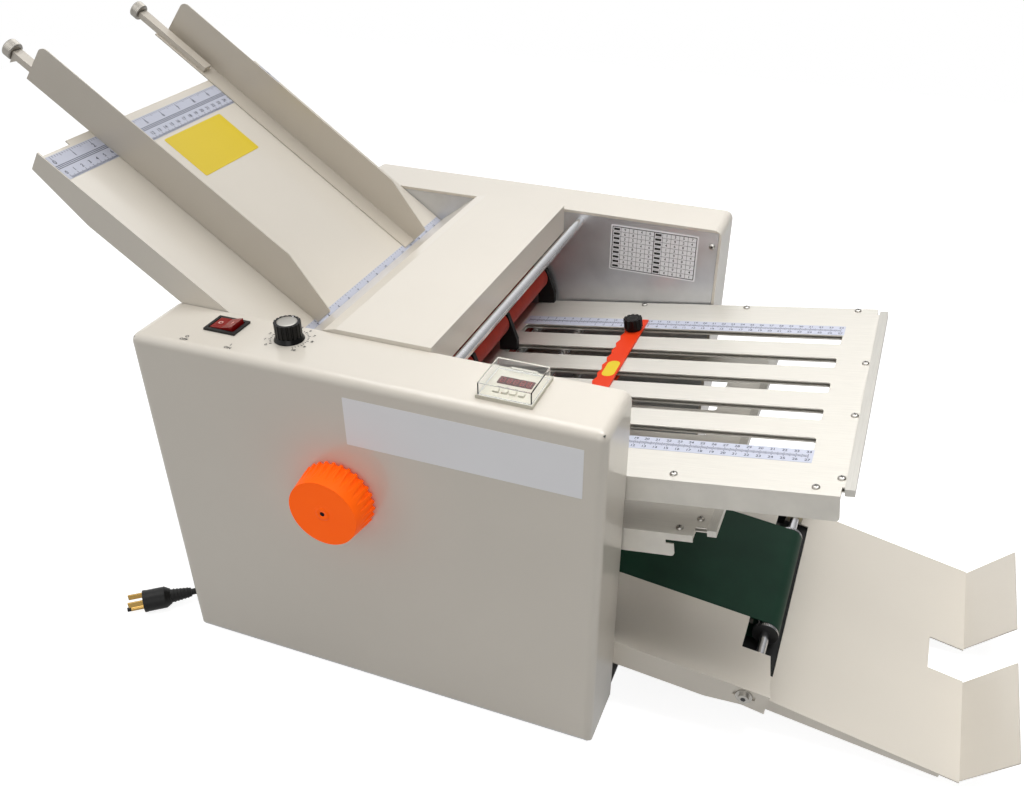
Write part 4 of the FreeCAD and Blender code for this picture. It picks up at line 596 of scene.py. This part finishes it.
class FOLDER_OT_screws(bpy.types.Operator):
    """Pan head screws of the fold plates, the rear side plate and the delivery frame"""

    bl_idname = "folder.screws"
    bl_label = "Screws"

    def execute(self, context):
        radius = context.scene.folder_sizes.screw_radius
        heads, slots = bmesh.new(), bmesh.new()
        for plate_at, stations, last in ((UPPER_PLATE, (0.122, 0.2365, 0.352), 0.370),
                                         (LOWER_PLATE, (0.086, 0.17, 0.247), 0.262)):
            spots = [(s, y) for s in stations for y in (0.1645, -0.1605)]
            spots += [(last, y) for y in (-0.145, -0.047, 0.050)]
            for s, y in spots:
                add_pan_screw(heads, slots, plate_at @ Matrix.Translation((s, y, PLATE_FACE)), radius)
        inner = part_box("rear_side_plate")[0][1]
        for x, z in ((0.211, 0.350), (0.205, 0.12), (-0.19, 0.12)):
            add_pan_screw(heads, slots, Matrix.Translation((x, inner, z)) @ WALL, radius)
        for run, y in ((-0.15, -0.14), (-0.15, 0.14)):
            add_pan_screw(heads, slots, DELIVERY @ Matrix.Translation((run, y, 0)), radius)
        finished("pan_screws", heads, finish("screw"), "root", smooth=True)
        finished("screw_recess_shade", slots, finish("black_ink"), "root")
        return {"FINISHED"}


BADGE_X, BADGE_Z = 0.097, 0.328
SETTINGS_X, SETTINGS_Z = 0.147, 0.333
SETTINGS_WIDTH, SETTINGS_HEIGHT, SETTINGS_EDGE = 0.098, 0.053, 0.002
SETTINGS_COLUMNS, SETTINGS_ROWS = 10, 9
THICK, THIN = 0.0004, 0.00016  # half the width of the table's lines


class FOLDER_OT_plates(bpy.types.Operator):
    """Blank badge on the front cover, table of settings on the rear plate and blank film labels"""

    bl_idname = "folder.plates"
    bl_label = "Plates and labels"

    def execute(self, context):
        sizes = context.scene.folder_sizes
        badge = bmesh.new()
        place = Matrix.Translation((BADGE_X, FRONT, BADGE_Z)) @ WALL
        add_plate(badge, rounded_outline(sizes.badge_width, sizes.badge_height, 0.0006), 0, sizes.film, place)
        finished("front_badge", badge, finish("white"), "root")

        sheet, lines = bmesh.new(), bmesh.new()
        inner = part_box("rear_side_plate")[0][1]
        place = Matrix.Translation((SETTINGS_X, inner, SETTINGS_Z)) @ WALL
        add_plate(sheet, rounded_outline(SETTINGS_WIDTH, SETTINGS_HEIGHT, 0.0008), 0, sizes.film, place)
        left, foot = -SETTINGS_WIDTH / 2 + SETTINGS_EDGE, -SETTINGS_HEIGHT / 2 + SETTINGS_EDGE
        column_step = (SETTINGS_WIDTH - 2 * SETTINGS_EDGE) / SETTINGS_COLUMNS
        row_step = (SETTINGS_HEIGHT - 2 * SETTINGS_EDGE) / SETTINGS_ROWS
        low, high = sizes.film, sizes.film * 1.3
        for i in range(SETTINGS_ROWS + 1):
            y, half = foot + i * row_step, THICK if i in (0, SETTINGS_ROWS) else THIN
            add_block(lines, (left, y - half, low), (-left, y + half, high), place)
        for i in range(SETTINGS_COLUMNS + 1):
            x, half = left + i * column_step, THICK if i % 5 == 0 else THIN
            add_block(lines, (x - half, foot, low), (x + half, -foot, high), place)
        for row in range(SETTINGS_ROWS):
            for column in range(SETTINGS_COLUMNS):
                x, y = left + (column + 0.5) * column_step, foot + (row + 0.5) * row_step
                if column % 5 == 0:
                    add_block(lines, (x - 0.0034, y - 0.0013, low),
                              (x + 0.0034, y + 0.0013, low * 1.2), place)
                else:
                    add_text(lines, str((row * 3 + column * 2) % 9 + 1), 0.0040,
                             place @ Matrix.Translation((x, y, low * 1.2)))
        finished("settings_sheet", sheet, finish("white"), "root")
        finished("settings_table", lines, finish("black_ink"), "root")

        label = bmesh.new()
        add_plate(label, rounded_outline(0.054, 0.093, 0.002), 0, sizes.film,
                  TABLE @ Matrix.Translation((0.0673, 0.0025, 0)))
        finished("table_label", label, finish("yellow"), "root")
        return {"FINISHED"}


def add_ring_text(ink, text, radius, angle, size, place):
    """Numeral that stands upright beside a dial, at an angle from its pointer's zero."""
    at = (radius * math.sin(angle), radius * math.cos(angle), 0)
    add_text(ink, text, size, place @ Matrix.Translation(at))


DISPLAY_Y = -0.198
KEY_MARK_Y = -0.2085


class FOLDER_OT_controls(bpy.types.Operator):
    """Legends of the switch and dial, pointer, rocker marks and the counter's display"""

    bl_idname = "folder.controls"
    bl_label = "Controls"

    def execute(self, context):
        sizes = context.scene.folder_sizes
        ink = bmesh.new()
        dial = Matrix.Translation((*middle("speed_knob"), DECK))
        for i in range(31):
            angle = math.radians(-140 + i * 280 / 30)
            whole = i % 3 == 0
            place = dial @ Matrix.Rotation(-angle, 4, "Z")
            add_block(ink, (-0.0002, 0.0158, 0), (0.0002, 0.0182 if whole else 0.0172, sizes.film), place)
            if whole:
                add_ring_text(ink, str(i // 3), 0.0212, angle, 0.0042,
                              dial @ Matrix.Translation((0, 0, sizes.film)))
        for word, x, y in (("OFF", -0.1677, -0.2292), ("ON", -0.1233, -0.2282)):
            add_text(ink, word, 0.0044, Matrix.Translation((x, y, DECK + sizes.film)))
            sign = Matrix.Translation((x, y + 0.0052, DECK + sizes.film))
            add_text(ink, "O" if word == "OFF" else "I", 0.0044, sign)
        finished("control_legends", ink, finish("black_ink"), "root")
        signs = bmesh.new()
        x, y = middle("switch_rocker")
        for sign, along, rise, slope in (("O", -0.0062, 0.0028, 2.5), ("I", 0.0062, 0.0046, 15.1)):
            add_text(signs, sign, 0.006, plane(x + along, DECK + rise, -math.radians(slope), y))
        finished("rocker_signs", signs, finish("pale_ink"), "rocker")

        pointer = bmesh.new()
        low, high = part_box("speed_knob")
        add_block(pointer, (-0.0005, 0.003, 0), (0.0005, 0.0105, 0.0002),
                  Matrix.Translation((*middle("speed_knob"), high[2])))
        finished("dial_pointer", pointer, finish("white"), "dial")
        cap = bmesh.new()
        radius = (high[0] - low[0]) / 2
        rim, flat = radius * 0.66, radius * 0.6
        add_turned(cap, [(rim, 0), (rim, 0.0002), (flat, 0.0003), (0, 0.0003)], 48,
                   Matrix.Translation((*middle("speed_knob"), high[2])))
        finished("dial_cap", cap, finish("screw"), "dial", smooth=True)

        filter_plate, segments = bmesh.new(), bmesh.new()
        x, top = middle("counter_body")[0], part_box("counter_body")[1][2]
        add_plate(filter_plate, rounded_outline(0.030, 0.0105, 0.0008), 0, 0.0005,
                  Matrix.Translation((x, DISPLAY_Y, top)))
        for i in range(5):
            at = Matrix.Translation((x - 0.0112 + i * 0.0056, DISPLAY_Y, top + 0.0005))
            add_figure(segments, 0.0030, 0.0064, at)
        finished("display_filter", filter_plate, finish("display"), "root")
        finished("display_figures", segments, finish("digits"), "root")
        legend = bmesh.new()
        for i in range(4):
            at = Matrix.Translation((middle("counter_key_%d" % (i + 1))[0], KEY_MARK_Y, top))
            add_plate(legend, [(-0.0015, 0.0009), (0, -0.0009), (0.0015, 0.0009)], 0, 0.0002, at)
        finished("counter_legend", legend, finish("black_ink"), "root")
        return {"FINISHED"}


def middle(node):
    """Centre of a node from above."""
    low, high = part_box(node)
    return (low[0] + high[0]) / 2, (low[1] + high[1]) / 2


def add_figure(bm, width, height, place):
    """Seven-segment figure eight."""
    bar = width * 0.16
    for y in (-height / 2, 0, height / 2):
        add_block(bm, (-width * 0.36, y - bar / 2, 0), (width * 0.36, y + bar / 2, 0.0001), place)
    for x in (-width / 2, width / 2):
        for y in (-height * 0.44, height * 0.06):
            add_block(bm, (x - bar / 2, y, 0), (x + bar / 2, y + height * 0.38, 0.0001), place)


def add_knurled(bm, radius, length, teeth, place):
    """Round head with a straight knurl and chamfered ends."""
    rings = []
    for height, share, cut in ((0, 0.9, 0), (length * 0.1, 1, 1), (length * 0.9, 1, 1), (length, 0.9, 0)):
        ring = []
        for i in range(teeth * 2):
            angle = math.tau * i / (teeth * 2)
            r = radius * share * (1 - 0.05 * cut * (i % 2))
            ring.append(bm.verts.new(place @ Vector((r * math.cos(angle), r * math.sin(angle), height))))
        rings.append(ring)
    for low, high in zip(rings, rings[1:]):
        for i in range(teeth * 2):
            j = (i + 1) % (teeth * 2)
            bm.faces.new((low[i], low[j], high[j], high[i]))
    bm.faces.new(rings[-1])
    bm.faces.new(list(reversed(rings[0])))


SCREW_HEAD, SCREW_RISE = -0.1083, 0.0045
STOP_FACE = PLATE_FACE + 0.0003 + 0.002
KNOB_TOP = STOP_FACE + 0.013


class FOLDER_OT_knobs(bpy.types.Operator):
    """Knurls of the side guides' thumb screws, the caps of the clamp knobs and the stops' stickers"""

    bl_idname = "folder.knobs"
    bl_label = "Knobs"

    def execute(self, context):
        for side, y in (("front", -0.091), ("rear", 0.091)):
            place = TABLE @ Matrix.Translation((SCREW_HEAD, y, SCREW_RISE)) @ ALONG
            head = bmesh.new()
            add_knurled(head, 0.009, 0.009, 40, place)
            add_turned(head, [(0.0062, -0.0004), (0.0055, -0.0006), (0, -0.0006)], 40, place)
            add_turned(head, [(0.0016, 0.009), (0.0016, 0.0205), (0.0011, 0.0213), (0, 0.0213)], 24, place)
            piece = finished(side + "_thumb_screw", head, finish("nickel"), side + "_screw",
                             bevel=0.0002)
            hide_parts(side + "_guide_screw")
        for which, plate_at, stop in (("upper", UPPER_PLATE, 0.118), ("lower", LOWER_PLATE, 0.096)):
            cap = bmesh.new()
            place = plate_at @ Matrix.Translation((stop + 0.010, 0.099, KNOB_TOP))
            add_turned(cap, [(0.0062, 0), (0.0062, 0.0002), (0.0055, 0.0004), (0, 0.0004)], 40, place)
            finished(which + "_knob_cap", cap, finish("black"), which + "_knob", smooth=True)
            sticker = bmesh.new()
            add_plate(sticker, rounded_outline(0.013, 0.032, 0.0062), 0, 0.0002,
                      plate_at @ Matrix.Translation((stop + 0.0115, 0.010, STOP_FACE)))
            finished(which + "_stop_sticker", sticker, finish("yellow"), which + "_stop")
        return {"FINISHED"}


# Side view of the hood's end cheeks, as X and Z, and the turn that stands it upright.
HOOD_SIDE = [(-0.106, 0.336), (-0.0618, 0.3698), (-0.050, 0.3727), (0.0424, 0.3727), (0.0424, 0.344)]
HOOD_TURN = Matrix(((1, 0, 0, 0), (0, 0, 1, 0), (0, 1, 0, 0), (0, 0, 0, 1)))


class FOLDER_OT_covers(bpy.types.Operator):
    """Handwheel hub, hood cheeks, the conveyor's rings and bed, a black sheet of painted shade under the end
    roller, and dark discs of painted shade on the tray bolts' sockets
    """

    bl_idname = "folder.covers"
    bl_label = "Caps and guards"

    def execute(self, context):
        low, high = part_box("handwheel")
        wheel = Matrix.Translation(((low[0] + high[0]) / 2, low[1], (low[2] + high[2]) / 2)) @ WALL
        hub = bmesh.new()
        bore, rim, proud = 0.0023, 0.0072, 0.00003
        add_turned(hub, [(bore, -0.0005), (bore, proud), (rim, proud), (rim, -0.004)], 48, wheel)
        finished("handwheel_hub", hub, finish("wheel"), "drive", smooth=True)
        rings, shade_sheet = bmesh.new(), bmesh.new()
        low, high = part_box("delivery_end_roller")
        axis = Matrix.Translation(((low[0] + high[0]) / 2, 0, (low[2] + high[2]) / 2)) @ WALL
        bore, flat, rim, edge = 0.0051, 0.0128, 0.0132, 0.0005
        for inner, outer in both_sides(0.0776, 0.0817):
            add_turned(rings, [(bore, inner), (flat, inner), (rim, inner + edge), (rim, outer - edge),
                               (flat, outer), (bore, outer)], 48, axis)
        finished("end_roller_rings", rings, finish("rubber"), "delivery_end", smooth=True)
        # Painted shade: a black sheet under the end roller and two black side strips stand in for the dark
        # gap between belt and tray.
        add_block(shade_sheet, (0.098, -0.135, -0.0295), (0.156, 0.135, -0.0285), DELIVERY)
        for inner, outer in both_sides(0.1193, 0.1203):
            add_block(shade_sheet, (0.114, inner, -0.0285), (0.1225, outer, -0.004), DELIVERY)
        finished("end_shade_sheet", shade_sheet, finish("black"), "root", bevel=0.0002)

        slider, strips, cheeks = bmesh.new(), bmesh.new(), bmesh.new()
        add_block(slider, (-0.108, -0.0836, -0.0032), (0.117, 0.0836, -0.0022), DELIVERY)
        finished("slider_bed", slider, finish("seal"), "root")
        for inner, outer in both_sides(0.078, 0.0842):
            add_block(strips, (-0.110, inner, -0.0015), (0.1128, outer, -0.0001), DELIVERY)
        for inner, outer in both_sides(0.1708, 0.1723):
            add_plate(cheeks, HOOD_SIDE, inner, outer, HOOD_TURN)
        finished("bed_strips", strips, finish("body"), "root")
        finished("hood_cheeks", cheeks, finish("body"), "root", bevel=0.0003)

        # Painted shade: dark hex discs on the bolt heads stand in for the shade inside their hex sockets.
        sockets = bmesh.new()
        low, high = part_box("tray_screws")
        x, z = (low[0] + high[0]) / 2, (low[2] + high[2]) / 2
        for face, turn in ((low[1], 90), (high[1], -90)):
            place = Matrix.Translation((x, face, z)) @ Matrix.Rotation(math.radians(turn), 4, "X")
            add_turned(sockets, [(0.0026, -0.0005), (0.0026, 0.0001), (0, 0.0001)], 6, place)
        finished("tray_bolt_socket_shade", sockets, finish("black_ink"), "tray")
        return {"FINISHED"}


# Mains cord: the route's points, with the wound length between them.
LEAD = [(-0.242, -0.184, 0.032), (-0.264, -0.1835, 0.0305), (-0.284, -0.167, 0.026), (-0.291, -0.142, 0.020),
        (-0.304, -0.119, 0.012), (-0.317, -0.098, 0.0055), (-0.3225, -0.082, 0.0035)]
TAIL = [(-0.2275, -0.086, 0.029), (-0.229, -0.110, 0.022), (-0.232, -0.134, 0.014), (-0.236, -0.159, 0.010),
        (-0.2433, -0.184, 0.0123), (-0.262, -0.199, 0.0125)]
COIL_CENTRE = (-0.275, -0.064)
COIL_RADIUS, COIL_PITCH, COIL_RISE = 0.0475, 0.0087, 0.0085
COIL_LAYERS, COIL_LOFT, COIL_BASE = 4, 0.5, 0.0035
COIL_POINTS = 16  # a turn


def coil_points():
    """Wound cord, clockwise from its left side: a turn inwards or outwards a layer, then half a turn up."""
    span = 1 + COIL_LOFT
    total = COIL_LAYERS * span - COIL_LOFT
    points = []
    for k in range(int(total * COIL_POINTS) + 1):
        turns = k / COIL_POINTS
        layer = min(int(turns / span), COIL_LAYERS - 1)
        wound = min(turns - layer * span, 1)
        outward = wound if layer % 2 else 1 - wound
        radius = COIL_RADIUS - COIL_PITCH * (1 - outward)
        rise = COIL_RISE * (layer + max(0.0, turns - layer * span - 1) / COIL_LOFT)
        angle = math.pi - math.tau * turns
        points.append((COIL_CENTRE[0] + radius * math.cos(angle), COIL_CENTRE[1] + radius * math.sin(angle),
                       COIL_BASE + rise))
    return points


class FOLDER_OT_cord(bpy.types.Operator):
    """Mains cord from its strain relief through the put-away coil to the plug"""

    bl_idname = "folder.cord"
    bl_label = "Mains cord"

    def execute(self, context):
        diameter = context.scene.folder_sizes.cord_diameter
        points = LEAD + coil_points() + TAIL
        curve = bpy.data.curves.new("mains_cord", "CURVE")
        curve.dimensions = "3D"
        curve.bevel_depth = diameter / 2
        curve.bevel_resolution = 5
        curve.resolution_u = 4
        curve.use_fill_caps = True
        route = curve.splines.new("NURBS")
        route.points.add(len(points) - 1)
        for target, at in zip(route.points, points):
            target.co = (*at, 1)
        route.order_u = 3
        route.use_endpoint_u = True
        curve.materials.append(finish("cord"))
        cord = bpy.data.objects.new("mains_cord", curve)
        context.scene.collection.objects.link(cord)
        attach(cord, "root")
        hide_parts("cord_lead", "cord_coil")
        return {"FINISHED"}


PLUG_HEADING = 218.5
PLUG_TAPER = 0.022


class FOLDER_OT_prongs(bpy.types.Operator):
    """Bright sleeves on the plug's blades and pin"""

    bl_idname = "folder.prongs"
    bl_label = "Plug prongs"

    def execute(self, context):
        prongs = bmesh.new()
        place = Matrix.Translation(TAIL[-1]) @ Matrix.Rotation(math.radians(PLUG_HEADING), 4, "Z")
        face = PLUG_TAPER + 0.006 + 0.020 + 0.003
        skin = 0.0001
        thick, tall, rise = 0.00075 + skin, 0.00315 + skin, 0.004
        for side in (-1, 1):
            y = side * 0.00635
            add_block(prongs, (face, y - thick, rise - tall),
                      (face + 0.016 - skin, y + thick, rise + tall), place)
        reach = 0.019 - 0.003 - skin
        add_turned(prongs, [(0.0025, 0), (0.0025, reach - 0.0012), (0.0016, reach), (0, reach)], 24,
                   place @ Matrix.Translation((face, 0, -0.0075)) @ ALONG)
        finished("plug_prongs", prongs, finish("brass"), "root", bevel=0.0002)
        ribs = bmesh.new()
        for i in range(5):
            x = 0.004 + i * 0.0036
            radius = 0.005 + 0.0025 * x / PLUG_TAPER + 0.0006
            add_turned(ribs, [(radius - 0.002, -0.0009), (radius, -0.0006), (radius, 0.0006),
                              (radius - 0.002, 0.0009)], 32, place @ Matrix.Translation((x, 0, 0)) @ ALONG)
        finished("plug_ribs", ribs, finish("cord"), "root", smooth=True)
        return {"FINISHED"}


# Name, place, target, size, watts and spread in degrees of each lamp.
LAMPS = (
    ("Overhead", (0.0, 0.25, 1.9), (0.05, 0, 0.2), 1.7, 24, 180),
    ("Window", (-1.5, -1.0, 1.15), (0, 0, 0.25), 1.2, 3.2, 180),
    ("Fill", (0.6, -1.7, 1.0), (0.25, 0, 0.1), 1.1, 5.2, 180),
    ("Tray", (0.66, -0.05, 1.4), (0.42, -0.05, 0.05), 0.5, 0.95, 60),
)


class FOLDER_OT_stage(bpy.types.Operator):
    """Floor and backdrop, soft studio lamps, world light and the camera"""

    bl_idname = "folder.stage"
    bl_label = "Stage"

    def execute(self, context):
        scene = context.scene
        size = scene.folder_sizes.floor_size
        floor = bmesh.new()
        corners = ((-size, -size), (size, -size), (size, size), (-size, size))
        floor.faces.new([floor.verts.new((x, y, FLOOR)) for x, y in corners])
        mesh = bpy.data.meshes.new("studio_floor")
        floor.to_mesh(mesh)
        floor.free()
        mesh.materials.append(backdrop("Studio floor", tuple(scene.folder_colours.background)))
        ground = bpy.data.objects.new("studio_floor", mesh)
        scene.collection.objects.link(ground)
        for values in LAMPS:
            lamp(*values)
        light_world(scene)
        lens = bpy.data.cameras.new("Camera")
        lens.lens = 35.13
        lens.sensor_width = 36
        lens.shift_x = -0.0072
        lens.shift_y = 0.0476
        lens.clip_start = 0.02
        camera = bpy.data.objects.new("Camera", lens)
        camera.location = (0.3817, -0.8352, 0.7897)
        camera.rotation_euler = [math.radians(a) for a in (55.25, 0.08, 21.26)]
        scene.collection.objects.link(camera)
        scene.camera = camera
        scene.view_settings.view_transform = "Standard"
        return {"FINISHED"}


def backdrop(name, colour):
    """White to the camera and in reflections, with the object's shadow kept."""
    made = Shader(name, tuple(c * 0.5 for c in colour), 0.9)
    made.surface.inputs["Specular IOR Level"].default_value = 0.1
    path = made.node("ShaderNodeLightPath")
    reflected = made.node("ShaderNodeMath", operation="MULTIPLY")
    reflected.inputs[1].default_value = 0.35
    glow = made.node("ShaderNodeMath", operation="MULTIPLY_ADD")
    glow.inputs[1].default_value = 0.86
    made.link(path.outputs["Is Glossy Ray"], reflected.inputs[0])
    made.link(path.outputs["Is Camera Ray"], glow.inputs[0])
    made.link(reflected.outputs["Value"], glow.inputs[2])
    made.surface.inputs["Emission Color"].default_value = (*colour, 1)
    made.link(glow.outputs["Value"], made.surface.inputs["Emission Strength"])
    return made.material


def lamp(name, at, target, size, power, spread):
    """Square soft box that faces a point."""
    light = bpy.data.lights.new(name, "AREA")
    light.shape = "SQUARE"
    light.size = size
    light.energy = power
    light.spread = math.radians(spread)
    holder = bpy.data.objects.new(name, light)
    holder.location = at
    holder.rotation_euler = (Vector(target) - Vector(at)).to_track_quat("-Z", "Y").to_euler()
    bpy.context.scene.collection.objects.link(holder)


def light_world(scene):
    """Pale world, dimmer on the side of the tray, and white where the camera looks past the floor."""
    world = bpy.data.worlds.new("Studio")
    scene.world = world
    world.use_nodes = True
    tree = world.node_tree
    glow = tree.nodes["Background"]
    glow.inputs["Color"].default_value = (1, 1, 1, 1)

    def combine(operation, *sources):
        made = tree.nodes.new("ShaderNodeMath")
        made.operation = operation
        for socket, source in zip(made.inputs, sources):
            tree.links.new(source, socket)
        return made.outputs[0]

    def ranged(source, **limits):
        made = tree.nodes.new("ShaderNodeMapRange")
        for words, value in limits.items():
            made.inputs[words.replace("_", " ").title()].default_value = value
        tree.links.new(source, made.inputs["Value"])
        return made.outputs["Result"]

    path = tree.nodes.new("ShaderNodeLightPath").outputs
    parts = tree.nodes.new("ShaderNodeSeparateXYZ")
    tree.links.new(tree.nodes.new("ShaderNodeTexCoord").outputs["Generated"], parts.inputs[0])
    seen = combine("MAXIMUM", path["Is Camera Ray"], path["Is Transmission Ray"])
    level = ranged(path["Is Glossy Ray"], to_min=0.36, to_max=1.0)
    side = ranged(parts.outputs["X"], from_min=-0.1, from_max=0.7, to_min=1.0, to_max=0.3)
    strength = combine("MAXIMUM", combine("MULTIPLY", level, side), seen)
    tree.links.new(strength, glow.inputs["Strength"])


class FOLDER_PT_panel(bpy.types.Panel):
    """Sizes, colours and building steps of the folding machine"""

    bl_idname = "FOLDER_PT_panel"
    bl_label = "Paper Folding Machine"
    bl_space_type = "VIEW_3D"
    bl_region_type = "UI"
    bl_category = "Folder"

    def draw(self, context):
        for group in (context.scene.folder_sizes, context.scene.folder_colours):
            column = self.layout.column(align=True)
            for key in group.__annotations__:
                column.prop(group, key)
        for step in STEPS:
            self.layout.operator(step.bl_idname)


STEPS = (FOLDER_OT_finishes, FOLDER_OT_scales, FOLDER_OT_screws, FOLDER_OT_plates, FOLDER_OT_controls,
         FOLDER_OT_knobs, FOLDER_OT_covers, FOLDER_OT_cord, FOLDER_OT_prongs, FOLDER_OT_stage)
CLASSES = (FolderSizes, FolderColours, *STEPS, FOLDER_PT_panel)


def register():
    for entry in CLASSES:
        bpy.utils.register_class(entry)
    bpy.types.Scene.folder_sizes = PointerProperty(type=FolderSizes)
    bpy.types.Scene.folder_colours = PointerProperty(type=FolderColours)


def unregister():
    del bpy.types.Scene.folder_colours
    del bpy.types.Scene.folder_sizes
    for entry in reversed(CLASSES):
        bpy.utils.unregister_class(entry)


def main():
    """Registers the add-on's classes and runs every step."""
    register()
    for step in STEPS:
        group, call = step.bl_idname.split(".")
        getattr(getattr(bpy.ops, group), call)()


if __name__ == "__main__":
    main()
